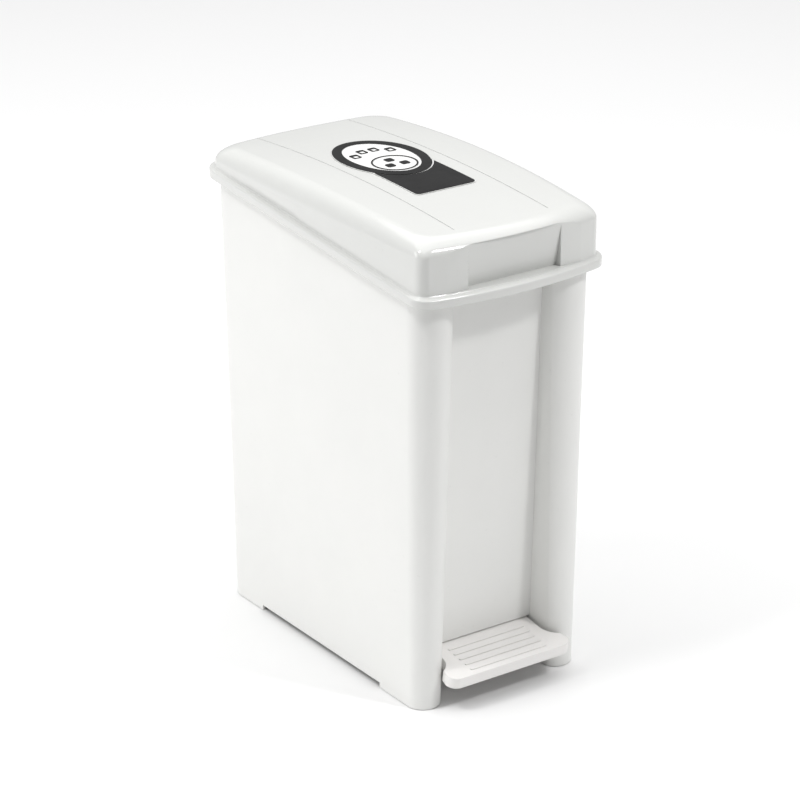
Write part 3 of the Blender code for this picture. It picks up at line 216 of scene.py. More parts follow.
# Finer edges than the CAD pieces have
LIP_SOFT = 0.0009       # radius under the lid's rim
LIP_ROUND = 0.0016      # radius on top of the lid's rim
ROUND_START = 0.0006    # start of that radius below the rim's height
FOOT_FILLET = 0.0006    # fillet where the dome stands on the rim
FILLET_SINK = 0.0004    # dip of the rim's top just outside that fillet

# Marks on the label and the thin line round its oval
MARK_SHEET_HALF_WIDTH = 0.030   # of the arched sheet that each mark is cut from
PRINT_INSET = 0.0005            # dark print inside the edge of the white film
WINDOW_DEPTH = 0.02
BLOCK_PLACES = (-0.0165, -0.0055, 0.0055, 0.0165)
BLOCK_HEIGHT = 0.0240           # of the outer two blocks, up the label
BLOCK_ARCH = 0.0110             # a block on the middle line would stand this much higher
BLOCK_SIZE = (0.0036, 0.0044, 0.0012)           # half width, half height, corner
BLOCK_WINDOW = (0.0022, 0.0026, 0.0008)
BLOCK_WINDOW_DROP = 0.0008
RING_CENTRE = -0.0060
RING_RADIUS = 0.0185
RING_INSIDE = 0.0172
PETAL_COUNT = 3
PETAL_PLACE = 0.0078            # petals' middles from the ring's centre
PETAL_SIZE = (0.0036, 0.0036, 0.0016)
OVAL_STEPS = 160
OVAL_LINE_GROWTH = (1.035, 1.025)               # outside of the thin line over the oval
OVAL_LINE_REACH = 0.012

PLANES = {
    "XY": Matrix.Identity(4),
    "YZ": Matrix(((0, 0, 1, 0), (1, 0, 0, 0), (0, 1, 0, 0), (0, 0, 0, 1))),
}
SHARP = math.radians(30)
cutters = bpy.data.collections.new("shaping")
bpy.context.scene.collection.children.link(cutters)
made = {}


def keep(item):
    """Keep a shaped piece for later, when its modifiers are applied."""
    made[item.name.split(".")[0]] = item
    return item


def add_object(name, mesh, matrix=None):
    """Link a mesh as a new object into the scene's own collection."""
    item = bpy.data.objects.new(name, mesh)
    bpy.context.scene.collection.objects.link(item)
    if matrix is not None:
        item.matrix_world = matrix
    return item


def mesh_from(bm, name):
    """Turn a bmesh into a mesh with its faces pointing outward."""
    bmesh.ops.recalc_face_normals(bm, faces=bm.faces)
    mesh = bpy.data.meshes.new(name)
    bm.to_mesh(mesh)
    bm.free()
    return mesh


def box(name, low, high):
    """A box between two corners."""
    size = Vector(high) - Vector(low)
    middle = (Vector(high) + Vector(low)) / 2
    bm = bmesh.new()
    bmesh.ops.create_cube(bm, size=1.0, matrix=Matrix.Translation(middle) @ Matrix.Diagonal((*size, 1.0)))
    return add_object(name, mesh_from(bm, name))


def axis_matrix(axis):
    """Rotation that lays the Z axis along X, Y or Z."""
    turns = {"X": Matrix.Rotation(math.pi / 2, 4, "Y"), "Y": Matrix.Rotation(-math.pi / 2, 4, "X"),
             "Z": Matrix.Identity(4)}
    return turns[axis]


def cylinder(name, centre, axis, radius, length, steps=72):
    """A cylinder along X, Y or Z about its centre."""
    bm = bmesh.new()
    matrix = Matrix.Translation(centre) @ axis_matrix(axis)
    bmesh.ops.create_cone(bm, cap_ends=True, segments=steps, radius1=radius, radius2=radius,
                          depth=length, matrix=matrix)
    return add_object(name, mesh_from(bm, name))


def loft(name, loops, mirror=None):
    """A closed solid through loops of equal point counts, with a flat cap at each end.

    With mirror, which is the sum of the indices of two mirrored points, the last loop is
    instead closed by strips that run straight across, so that the cap can be arched.
    """
    bm = bmesh.new()
    rows = [[bm.verts.new(point) for point in loop] for loop in loops]
    count = len(rows[0])
    for lower, upper in zip(rows, rows[1:]):
        for index in range(count):
            after = (index + 1) % count
            bm.faces.new((lower[index], lower[after], upper[after], upper[index]))
    bm.faces.new(rows[0])
    if mirror is None:
        bm.faces.new(rows[-1])
    else:
        close_with_strips(bm, rows[-1], mirror)
        bmesh.ops.triangulate(bm, faces=[face for face in bm.faces if len(face.verts) == 4])
    return add_object(name, mesh_from(bm, name))


def close_with_strips(bm, row, mirror):
    """Close a mirrored loop by strips that join each pair of mirrored points to the next pair."""
    count = len(row)
    first = (mirror + 1) // 2
    pairs = [(row[(mirror - first - step) % count], row[first + step]) for step in range(count // 2)]
    for (near_right, near_left), (far_right, far_left) in zip(pairs, pairs[1:]):
        bm.faces.new((near_right, near_left, far_left, far_right))


def mesh_of_curve(curve_object):
    """Replace a curve object by its mesh, with the caps welded on."""
    name = curve_object.name
    evaluated = curve_object.evaluated_get(bpy.context.evaluated_depsgraph_get())
    mesh = bpy.data.meshes.new_from_object(evaluated)
    bm = bmesh.new()
    bm.from_mesh(mesh)
    bmesh.ops.remove_doubles(bm, verts=bm.verts, dist=1e-6)
    bmesh.ops.recalc_face_normals(bm, faces=bm.faces)
    bm.to_mesh(mesh)
    bm.free()
    matrix = curve_object.matrix_world.copy()
    bpy.data.objects.remove(curve_object, do_unlink=True)
    return add_object(name, mesh, matrix)


def slab(name, outline, plane, start, end):
    """A flat outline in the XY or YZ plane, pulled from start to end along the third axis."""
    curve = bpy.data.curves.new(name, "CURVE")
    curve.dimensions = "2D"
    curve.fill_mode = "BOTH"
    curve.extrude = (end - start) / 2
    spline = curve.splines.new("POLY")
    spline.points.add(len(outline) - 1)
    for point, place in zip(spline.points, outline):
        point.co = (place[0], place[1], 0.0, 1.0)
    spline.use_cyclic_u = True
    item = add_object(name, curve, PLANES[plane] @ Matrix.Translation((0, 0, (start + end) / 2)))
    bpy.context.view_layer.update()
    return mesh_of_curve(item)


def combine(target, tool, operation):
    """Join a tool to a target or cut it out of the target, and put the tool among the cutters."""
    boolean = target.modifiers.new(operation.title(), "BOOLEAN")
    boolean.operation = operation
    boolean.object = tool
    for collection in list(tool.users_collection):
        collection.objects.unlink(tool)
    cutters.objects.link(tool)
    tool.hide_render = True
    tool.display_type = "WIRE"


def join(target, tool):
    combine(target, tool, "UNION")


def cut(target, tool):
    combine(target, tool, "DIFFERENCE")


def solve_as_manifold(item):
    """Use the manifold solver, which suits cuts through sloping faces."""
    for modifier in item.modifiers:
        if modifier.type == "BOOLEAN":
            modifier.solver = "MANIFOLD"


def arc(centre_x, centre_y, radius, start, end, steps=ARC_STEPS):
    """Points along an arc, both ends included, with angles in degrees."""
    angles = [math.radians(start + (end - start) * step / steps) for step in range(steps + 1)]
    return [(centre_x + radius * math.cos(angle), centre_y + radius * math.sin(angle)) for angle in angles]


def rounded_rectangle(half_width, front, back, radius, steps=ARC_STEPS):
    """Outline of a rectangle with round corners, from y = front to y = back."""
    inner = half_width - radius
    points = arc(inner, back - radius, radius, 0, 90, steps)
    points += arc(-inner, back - radius, radius, 90, 180, steps)
    points += arc(-inner, front + radius, radius, 180, 270, steps)
    points += arc(inner, front + radius, radius, 270, 360, steps)
    return points


def between(foot, rim, height):
    """A tub size at a height, from its values at the foot and at the rim."""
    return foot + (rim - foot) * height / FRONT_HEIGHT


def half_width_at(height):
    return between(FOOT_HALF_WIDTH, RIM_HALF_WIDTH, height)


def front_at(height):
    return between(FOOT_FRONT, RIM_FRONT, height)


def back_at(height):
    return between(FOOT_BACK, RIM_BACK, height)


def column_radius_at(height):
    return between(FOOT_COLUMN_RADIUS, RIM_COLUMN_RADIUS, height)


def panel_at(height):
    """How far in front of the middle the front panel's face lies."""
    return front_at(height) - between(FOOT_PANEL_RECESS, RIM_PANEL_RECESS, height)


def rim_height(y):
    """Height of the lid rim's lower edge at a depth."""
    return FRONT_HEIGHT + RIM_SLOPE * (y + RIM_DATUM)


def tub_outline(height, inset):
    """Plan of the tub: round rear corners, two round columns and the panel set back between them."""
    half = half_width_at(height) - inset
    front = front_at(height) - inset
    back = back_at(height) - inset
    corner = REAR_CORNER_RADIUS - inset
    column = column_radius_at(height) - inset
    panel = panel_at(height) - inset
    flank = half - 2 * column
    points = arc(half - corner, back - corner, corner, 0, 90)
    points += arc(corner - half, back - corner, corner, 90, 180)
    points += arc(column - half, column - front, column, 180, 330, 48)
    points += [(-flank, -panel), (flank, -panel)]
    points += arc(half - column, column - front, column, 210, 360, 48)
    return [(x, y, height) for x, y in points]


def tub_solid(name, low, high, inset):
    return loft(name, [tub_outline(low, inset), tub_outline(high, inset)])


def above_rim(name, rise):
    """Everything above the sloping plane that lies a given rise over the lid's rim."""
    reach = 0.5
    profile = [(-reach, rim_height(-reach) + rise), (reach, rim_height(reach) + rise),
               (reach, 2 * reach), (-reach, 2 * reach)]
    return slab(name, profile, "YZ", -reach, reach)


def add_feet(tub):
    """Moulded feet under the columns and the rear corners, with a pocket for each pad."""
    for x, y, radius in foot_places():
        plate = cylinder("foot_plate", (x, y, STAND_OFF + FOOT_PLATE / 2), "Z", radius, FOOT_PLATE)
        join(tub, plate)
        depth = PAD_THICKNESS + GAP - STAND_OFF
        pocket = cylinder("pad_pocket", (x, y, STAND_OFF + depth / 2 - WALL / 2), "Z",
                          PAD_RADIUS + PIN_GAP, depth + WALL)
        cut(tub, pocket)


def foot_places():
    """Centre and plate radius of each foot: the front columns, then the rear corners."""
    column = FOOT_COLUMN_RADIUS
    corner = REAR_CORNER_RADIUS
    places = []
    for side in (-1, 1):
        places.append((side * (FOOT_HALF_WIDTH - column), column - FOOT_FRONT, column - WALL / 2))
    for side in (-1, 1):
        places.append((side * (FOOT_HALF_WIDTH - corner), FOOT_BACK - corner, corner - WALL / 2))
    return places


def cut_arches(tub):
    """Raise the bottom edge between the feet, and open the front under the panel for the pedal."""
    far = 0.3
    front_foot = FRONT_FOOT_LENGTH - FOOT_FRONT
    rear_foot = FOOT_BACK - REAR_FOOT_LENGTH
    cut(tub, box("side_arch", (-far, front_foot, -far), (far, rear_foot, ARCH_HEIGHT)))
    rear_half = FOOT_HALF_WIDTH - 2 * REAR_CORNER_RADIUS
    cut(tub, box("rear_arch", (-rear_half, 0, -far), (rear_half, far, ARCH_HEIGHT)))
    low = FOOT_HALF_WIDTH - 2 * FOOT_COLUMN_RADIUS
    high = half_width_at(SILL_HEIGHT) - 2 * column_radius_at(SILL_HEIGHT)
    doorway = [(-low, -WALL), (low, -WALL), (high, SILL_HEIGHT), (-high, SILL_HEIGHT)]
    depth = panel_at(0)
    opening = slab("pedal_doorway", doorway, "XY", -2 * WALL, 3 * WALL)
    upright = Matrix.Translation((0, -depth, 0)) @ Matrix.Rotation(math.pi / 2, 4, "X")
    opening.matrix_world = upright @ opening.matrix_world
    cut(tub, opening)


def boss_places():
    """Centres of the four bosses that the pedal brackets are screwed to."""
    across = HUB_HALF_WIDTH + GAP + BRACKET_WIDTH + BRACKET_FOOT / 2
    along = BRACKET_HALF_DEPTH - BOSS_RADIUS - WALL
    return [(side * across, PEDAL_PIVOT_Y + step * along) for side in (-1, 1) for step in (-1, 1)]


def add_bosses(tub):
    for x, y in boss_places():
        low = FLOOR_HEIGHT - BOSS_DROP
        join(tub, cylinder("bracket_boss", (x, y, low + (BOSS_DROP + WALL / 2) / 2), "Z",
                           BOSS_RADIUS, BOSS_DROP + WALL / 2, 24))
    for x, y in boss_places():
        low = FLOOR_HEIGHT - BOSS_DROP
        cut(tub, cylinder("bracket_screw_hole", (x, y, low + BOSS_DROP / 2 - WALL / 2), "Z",
                          SCREW_RADIUS + PIN_GAP, BOSS_DROP + WALL / 2, 16))


def add_hinge_ears(tub):
    """Two pairs of ears on the rear wall that hold the lid's hinge pins."""
    radius = EAR_RADIUS
    inner = KNUCKLE_WIDTH / 2 + GAP
    for side in (-1, 1):
        for step in (-1, 1):
            near = side * KNUCKLE_OFFSET + step * inner
            far = near + step * EAR_WIDTH
            low, high = min(near, far), max(near, far)
            web = [(RIM_BACK - WALL / 2, PIVOT_Z - 2.2 * radius), (PIVOT_Y, PIVOT_Z - radius),
                   (PIVOT_Y, PIVOT_Z + radius), (RIM_BACK - WALL / 2, PIVOT_Z + radius)]
            join(tub, slab("hinge_ear_web", web, "YZ", low, high))
            join(tub, cylinder("hinge_ear", ((low + high) / 2, PIVOT_Y, PIVOT_Z), "X", radius, high - low))
        reach = KNUCKLE_WIDTH + 4 * EAR_WIDTH
        cut(tub, cylinder("hinge_ear_bore", (side * KNUCKLE_OFFSET, PIVOT_Y, PIVOT_Z), "X",
                          HINGE_PIN_RADIUS + PIN_GAP, reach))


def make_tub():
    """The outer tub: walls, columns, a floor for the bucket, feet, bosses and hinge ears."""
    tub = tub_solid("body_shell", STAND_OFF, HEIGHT_AT_TOP, 0.0)
    cut(tub, tub_solid("tub_inside", FLOOR_TOP, HEIGHT_AT_TOP + WALL, WALL))
    cut(tub, tub_solid("tub_underside", -WALL, FLOOR_HEIGHT, WALL))
    cut(tub, above_rim("tub_top", TUB_INSERT))
    cut_arches(tub)
    add_feet(tub)
    add_bosses(tub)
    add_hinge_ears(tub)
    notch = CRANK_WIDTH / 2 + 2 * WORKING_GAP
    cut(tub, box("crank_notch", (-notch, RIM_BACK - 4 * WALL, PIVOT_Z + 0.002), (notch, PIVOT_Y, 0.6)))
    cut(tub, cylinder("rod_hole", (ROD_SIDE, ROD_Y, FLOOR_HEIGHT), "Z", 2 * ROD_RADIUS, 4 * WALL, 24))
    return keep(tub)


def lid_corner(radius, offset):
    """Radius of a lid corner: parallel to the dome's foot outside it, growing inward."""
    beyond = offset - DOME_REACH
    return radius + beyond if beyond > 0 else radius - CORNER_GROWTH * beyond


def lid_outline(offset, level, side_swell=0.0001):
    """Plan of the lid at an offset from the tub, with each edge swelled to a shallow arc."""
    half = RIM_HALF_WIDTH + offset
    front = RIM_FRONT + LID_FRONT_REACH + offset
    back = RIM_BACK + LID_BACK_REACH + offset
    front_radius = lid_corner(LID_FRONT_CORNER, offset)
    back_radius = lid_corner(LID_BACK_CORNER, offset)
    right_front = Vector((half - front_radius, front_radius - front))
    right_back = Vector((half - back_radius, back - back_radius))
    left_back = Vector((-right_back.x, right_back.y))
    left_front = Vector((-right_front.x, right_front.y))
    points = corner_and_edge(right_back, back_radius, 0, side_swell, left_back, back_radius, BACK_SWELL)
    points += corner_and_edge(left_back, back_radius, 90, BACK_SWELL, left_front, front_radius, side_swell)
    points += corner_and_edge(left_front, front_radius, 180, side_swell,
                              right_front, front_radius, FRONT_SWELL)
    points += corner_and_edge(right_front, front_radius, 270, FRONT_SWELL,
                              right_back, back_radius, side_swell)
    return [(x, y, level(y)) for x, y in points]


def corner_and_edge(centre, radius, start, swell_before, next_centre, next_radius, swell_after):
    """Points round one corner, then along the swelled edge up to the next corner."""
    first = start + math.degrees(swell_before)
    last = start + 90 - math.degrees(swell_after)
    points = arc(centre.x, centre.y, radius, first, last)
    outward = Vector((math.cos(math.radians(start + 90)), math.sin(math.radians(start + 90))))
    turn = Vector((outward.y, -outward.x))
    begin = Vector(points[-1])
    end = next_centre + next_radius * (outward * math.cos(swell_after) - turn * math.sin(swell_after))
    bulge = (end - begin).length / 2 * math.tan(swell_after / 2)
    for step in range(1, EDGE_STEPS):
        share = step / EDGE_STEPS
        place = begin.lerp(end, share) + outward * bulge * 4 * share * (1 - share)
        points.append((place.x, place.y))
    return points


def arch_height(y):
    """Height of the lid's arched top at a depth."""
    return LID_TOP - (y - CREST_Y) ** 2 / (2 * ARCH_RADIUS)


def arched_slab(name, low, high, half_width, side=0.0):
    """A slab that follows the lid's arch between two heights above it, over the lid's whole depth."""
    reach = RIM_FRONT - ROLL_WIDTH
    depths = [-reach + (reach + RIM_BACK) * step / 96 for step in range(97)]
    profile = [(y, arch_height(y) + low) for y in depths]
    profile += [(y, arch_height(y) + high) for y in reversed(depths)]
    return slab(name, profile, "YZ", side - half_width, side + half_width)


def dome_loops(wall):
    """Loops from the shoulder of the dome to its crest, set in by a wall thickness."""
    shoulder = FRONT_HEIGHT + SHOULDER_HEIGHT
    loops = []
    steps = 16
    foot = DOME_REACH - wall
    for step in range(steps + 1):
        turn = math.pi / 2 * step / steps
        offset = foot - (ROLL_WIDTH - 0.6 * wall) * (1 - math.cos(turn))
        share = math.sin(turn)
        loops.append(lid_outline(offset, lambda y, s=share: shoulder * (1 - s) + (arch_height(y) - wall) * s,
                                 SIDE_SWELL))
    return loops


def lid_outside():
    """Outer surface of the lid: the rolled rim, a small fillet at the dome's foot, then the dome."""
    loops = [lid_outline(LIP_REACH - LIP_SOFT, rim_height)]
    for step in range(1, 7):
        turn = math.pi / 2 * step / 6
        loops.append(lid_outline(LIP_REACH - LIP_SOFT * (1 - math.sin(turn)),
                                 lambda y, t=turn: rim_height(y) + LIP_SOFT * (1 - math.cos(t))))
    for step in range(9):
        turn = math.pi / 2 * step / 8
        loops.append(lid_outline(
            LIP_REACH - LIP_ROUND * (1 - math.cos(turn)),
            lambda y, t=turn: rim_height(y) + LIP_HEIGHT - ROUND_START + LIP_ROUND * math.sin(t)))
    rise = LIP_HEIGHT + LIP_CROWN
    loops.append(lid_outline(DOME_REACH + FOOT_FILLET, lambda y: rim_height(y) + rise - FILLET_SINK))
    for step in range(1, 5):
        turn = math.pi / 2 * step / 4
        loops.append(lid_outline(DOME_REACH + FOOT_FILLET * (1 - math.sin(turn)),
                                 lambda y, t=turn: rim_height(y) + rise + FOOT_FILLET * (1 - math.cos(t))))
    return loft("lid_shell", loops + dome_loops(0.0), LID_MIRROR)


def lid_inside():
    """Hollow of the lid: the groove that takes the tub's edge, then the inside of the dome."""
    ledge = TUB_INSERT + GAP
    groove = LIP_REACH - LID_WALL
    inner = DOME_REACH - LID_WALL
    loops = [
        lid_outline(groove, lambda y: rim_height(y) - 4 * LID_WALL),
        lid_outline(groove, lambda y: rim_height(y) + ledge),
        lid_outline(inner, lambda y: rim_height(y) + ledge),
    ]
    return loft("lid_hollow", loops + dome_loops(LID_WALL), LID_MIRROR)


def band_cutter(name, grow):
    """Space in front of the flat front band, grown by a wall for the inside."""
    face = RIM_FRONT + LID_FRONT_REACH + DOME_REACH + BAND_INSET - grow
    low = rim_height(-face) + LIP_HEIGHT + LIP_CROWN - grow
    half = BAND_HALF_WIDTH + grow
    return box(name, (-half, -0.3, low), (half, -face, LID_TOP - BROW_DROP + grow))


def grip_cutter(name, grow):
    """Wedge-shaped finger recess in the middle of the front band, grown by a wall for the inside."""
    face = RIM_FRONT + LID_FRONT_REACH + DOME_REACH + BAND_INSET - grow
    low = rim_height(-face) + LIP_HEIGHT + LIP_CROWN - grow
    high = LID_TOP - BROW_DROP - LID_WALL * 0.6 + grow
    profile = [(-0.3, low), (-face + GRIP_DEPTH, low), (-face, high), (-0.3, high)]
    half = GRIP_HALF_WIDTH + grow
    return slab(name, profile, "YZ", -half, half)


def add_knuckles(lid):
    """Arms that run down behind the tub from the rim to the hinge pins."""
    top = rim_height(PIVOT_Y) + TUB_INSERT + LID_WALL / 2
    for side in (-1, 1):
        low = side * KNUCKLE_OFFSET - KNUCKLE_WIDTH / 2
        high = low + KNUCKLE_WIDTH
        join(lid, box("hinge_arm", (low, PIVOT_Y - 0.98 * KNUCKLE_RADIUS, PIVOT_Z),
                      (high, PIVOT_Y + 0.98 * KNUCKLE_RADIUS, top)))
        join(lid, cylinder("hinge_knuckle", (side * KNUCKLE_OFFSET, PIVOT_Y, PIVOT_Z), "X",
                           KNUCKLE_RADIUS, KNUCKLE_WIDTH + 2 * GAP / 3))
        cut(lid, cylinder("hinge_bore", (side * KNUCKLE_OFFSET, PIVOT_Y, PIVOT_Z), "X",
                          HINGE_PIN_RADIUS + PIN_GAP, 2 * KNUCKLE_WIDTH))


def crank_boss_places():
    reach = CRANK_PLATE_HALF_WIDTH - BOSS_RADIUS - GAP
    return [(side * reach, ROD_Y - 4 * BOSS_RADIUS + WALL) for side in (-1, 1)]


def crank_level():
    """Height of the crank plate's top, tied to the lid's top over its screws."""
    return arch_height(crank_boss_places()[0][1]) - CRANK_DROP


def add_crank_bosses(lid):
    """Two bosses under the lid's top that the crank is screwed to."""
    low = crank_level()
    for x, y in crank_boss_places():
        high = arch_height(y) - LID_WALL / 2
        join(lid, cylinder("crank_boss", (x, y, (low + high) / 2), "Z", BOSS_RADIUS, high - low, 24))
    for x, y in crank_boss_places():
        top = arch_height(y) - 2 * LID_WALL
        cut(lid, cylinder("crank_screw_hole", (x, y, (low + top) / 2 - WALL / 2), "Z",
                          SCREW_RADIUS + PIN_GAP, top - low + WALL, 16))


def cut_top_lines(lid):
    """Two fine lines that run from front to back along the lid's top."""
    for side in (-1, 1):
        cut(lid, arched_slab("top_line", -LINE_DEPTH, WALL, LINE_WIDTH / 2, side * LINE_OFFSET))


def make_lid():
    """The lid: rim, dome with a front band and finger grip, hinge arms and crank bosses."""
    lid = lid_outside()
    cut(lid, band_cutter("front_band", 0.0))
    cut(lid, grip_cutter("finger_grip", 0.0))
    hollow = lid_inside()
    cut(hollow, band_cutter("front_band_inside", LID_WALL))
    cut(hollow, grip_cutter("finger_grip_inside", LID_WALL))
    cut(lid, hollow)
    add_knuckles(lid)
    add_crank_bosses(lid)
    cut_top_lines(lid)
    return keep(lid)


def label_outline(inset):
    """An oval with a square tab towards the front, as one outline."""
    half_width = LABEL_HALF_WIDTH - inset
    half_length = LABEL_HALF_LENGTH - inset
    tab = TAB_HALF_WIDTH - inset
    meet = math.acos(tab / half_width)
    steps = 120
    points = []
    for step in range(steps + 1):
        angle = -meet + (math.pi + 2 * meet) * step / steps
        points.append((half_width * math.cos(angle), LABEL_CENTRE + half_length * math.sin(angle)))
    end = TAB_END + inset
    points += arc(-tab + TAB_CORNER, end + TAB_CORNER, TAB_CORNER, 180, 270, 12)
    points += arc(tab - TAB_CORNER, end + TAB_CORNER, TAB_CORNER, 270, 360, 12)
    return points


def label_layer(name, inset, low):
    """One thin layer of the label: its outline, laid over the lid's arch at a height above it."""
    reach = LABEL_HALF_WIDTH + WALL
    layer = arched_slab(name, low, low + LABEL_THICKNESS, reach)
    column = slab(name + "_outline", label_outline(inset), "XY", LID_TOP - 4 * WALL, LID_TOP + 4 * WALL)
    combine(layer, column, "INTERSECT")
    return layer


def make_label():
    """White base sheet on the lid's top, and the dark band and tab printed over it."""
    keep(label_layer("label_sheet", 0.0, GAP))
    band = label_layer("label_print", PRINT_INSET, 2 * GAP + LABEL_THICKNESS)
    window = cylinder("label_window", (0, LABEL_CENTRE, LID_TOP), "Z", LABEL_HALF_WIDTH - LABEL_BAND,
                      WINDOW_DEPTH, 120)
    stretch = (LABEL_HALF_LENGTH - LABEL_BAND) / (LABEL_HALF_WIDTH - LABEL_BAND)
    about = Matrix.Translation((0, LABEL_CENTRE, 0))
    window.data.transform(about @ Matrix.Diagonal((1, stretch, 1, 1)) @ about.inverted())
    cut(band, window)
    keep(band)


def tread_matrix():
    """Frame of the tread: its origin on top at the panel's face, its Y along the sloping top."""
    level = SILL_HEIGHT - WORKING_GAP
    return Matrix.Translation((0, -panel_at(SILL_HEIGHT), level)) @ Matrix.Rotation(TREAD_SLOPE, 4, "X")


def tread_outline(inset, tail):
    """Plan of the tread: a neck between the columns that widens in front of them."""
    level = PEDAL_PIVOT_HEIGHT
    column = column_radius_at(level)
    centre_x = half_width_at(level) - column
    centre_y = panel_at(SILL_HEIGHT) - front_at(level) + column - TREAD_SWING
    radius = column + COLUMN_CLEARANCE + inset
    corner = TREAD_CORNER - inset
    side = TREAD_HALF_WIDTH - inset
    front = -TREAD_LENGTH + inset
    sweep = 64
    right = arc(side - corner, front + corner, corner, -90, 0, 24)
    right += arc(centre_x, centre_y, radius, 180 + sweep, 180, 28)
    right += [(centre_x - radius, tail)]
    return right + [(-x, y) for x, y in reversed(right)]


def lever_profile(inset):
    """Side view of the lever from the tread's tail to the rod, as depth and height."""
    front = TREAD_TAIL - panel_at(SILL_HEIGHT) - TREAD_WALL / 2 + inset
    hub = 0.9 * HUB_RADIUS
    tip = 0.8 * LEVER_TIP_RADIUS
    open_side = -2 * inset
    return [(front, SILL_HEIGHT - TREAD_DEPTH + open_side),
            (PEDAL_PIVOT_Y - HUB_RADIUS, PEDAL_PIVOT_HEIGHT - hub + open_side),
            (PEDAL_PIVOT_Y + HUB_RADIUS, PEDAL_PIVOT_HEIGHT - hub + open_side),
            (EYE_Y, HOOK_BOTTOM - tip + open_side),
            (EYE_Y, HOOK_BOTTOM + tip - inset),
            (PEDAL_PIVOT_Y + HUB_RADIUS, PEDAL_PIVOT_HEIGHT + hub - inset),
            (front, SILL_HEIGHT - WORKING_GAP - inset)]


def lever_plan(inset):
    """Plan of the lever: wide as far as the pivot, then tapering to the rod's eye."""
    half = LEVER_HALF_WIDTH - inset
    tip = 0.45 * LEVER_TIP_WIDTH - inset
    front = -panel_at(SILL_HEIGHT)
    turn = PEDAL_PIVOT_Y + 2 * HUB_RADIUS
    end = EYE_Y - inset
    return [(half, front), (half, turn), (tip, end), (-tip, end), (-half, turn), (-half, front)]


def make_lever(name, inset):
    lever = slab(name, lever_profile(inset), "YZ", -LEVER_HALF_WIDTH - WALL, LEVER_HALF_WIDTH + WALL)
    low, high = -0.1, 0.2
    combine(lever, slab(name + "_plan", lever_plan(inset), "XY", low, high), "INTERSECT")
    solve_as_manifold(lever)
    return lever


def make_pedal():
    """The pedal: a ribbed tread, its lever, the hub on the pivot pin and the eye for the rod."""
    pedal = slab("pedal", tread_outline(0.0, TREAD_TAIL), "XY", -TREAD_DEPTH, 0.0)
    pedal.matrix_world = tread_matrix() @ pedal.matrix_world
    hollow = slab("tread_hollow", tread_outline(TREAD_WALL, TREAD_TAIL - TREAD_WALL), "XY",
                  -2 * TREAD_DEPTH, -TREAD_TOP)
    hollow.matrix_world = tread_matrix() @ hollow.matrix_world
    cut(pedal, hollow)
    pitch_start = -TREAD_LENGTH / 2 + RIB_PITCH * (RIB_COUNT - 1) / 2 - WORKING_GAP
    for index in range(RIB_COUNT):
        y = pitch_start - index * RIB_PITCH
        rib = slab("tread_rib", rounded_rectangle(RIB_HALF_LENGTH, y - RIB_WIDTH / 2, y + RIB_WIDTH / 2,
                                                  0.49 * RIB_WIDTH, 12), "XY", -TREAD_TOP / 2, RIB_RISE)
        rib.matrix_world = tread_matrix() @ rib.matrix_world
        join(pedal, rib)
    for side in (-1, 1):
        x = side * (TREAD_HALF_WIDTH - TREAD_CORNER)
        y = -TREAD_LENGTH + TREAD_CORNER
        low = -TREAD_DEPTH - TREAD_FOOT
        high = -TREAD_TOP / 2
        foot = cylinder("tread_foot", (x, y, (low + high) / 2), "Z", 0.75 * TREAD_CORNER, high - low, 64)
        foot.matrix_world = tread_matrix()
        join(pedal, foot)
    join(pedal, make_lever("pedal_lever", 0.0))
    cut(pedal, make_lever("lever_hollow", LEVER_WALL))
    pivot = (0, PEDAL_PIVOT_Y, PEDAL_PIVOT_HEIGHT)
    join(pedal, cylinder("pedal_hub", pivot, "X", HUB_RADIUS, 2 * HUB_HALF_WIDTH))
    eye = (0, EYE_Y, HOOK_BOTTOM)
    join(pedal, cylinder("rod_eye", eye, "X", LEVER_TIP_RADIUS, LEVER_TIP_WIDTH))
    cut(pedal, cylinder("pedal_bore", pivot, "X", PEDAL_PIN_RADIUS + PIN_GAP, 4 * HUB_HALF_WIDTH))
    cut(pedal, cylinder("rod_eye_bore", eye, "X", ROD_RADIUS + LEVER_HOLE_PLAY, 4 * LEVER_TIP_WIDTH))
    solve_as_manifold(pedal)
    return keep(pedal)


# ---------------------------------------------------------------- materials

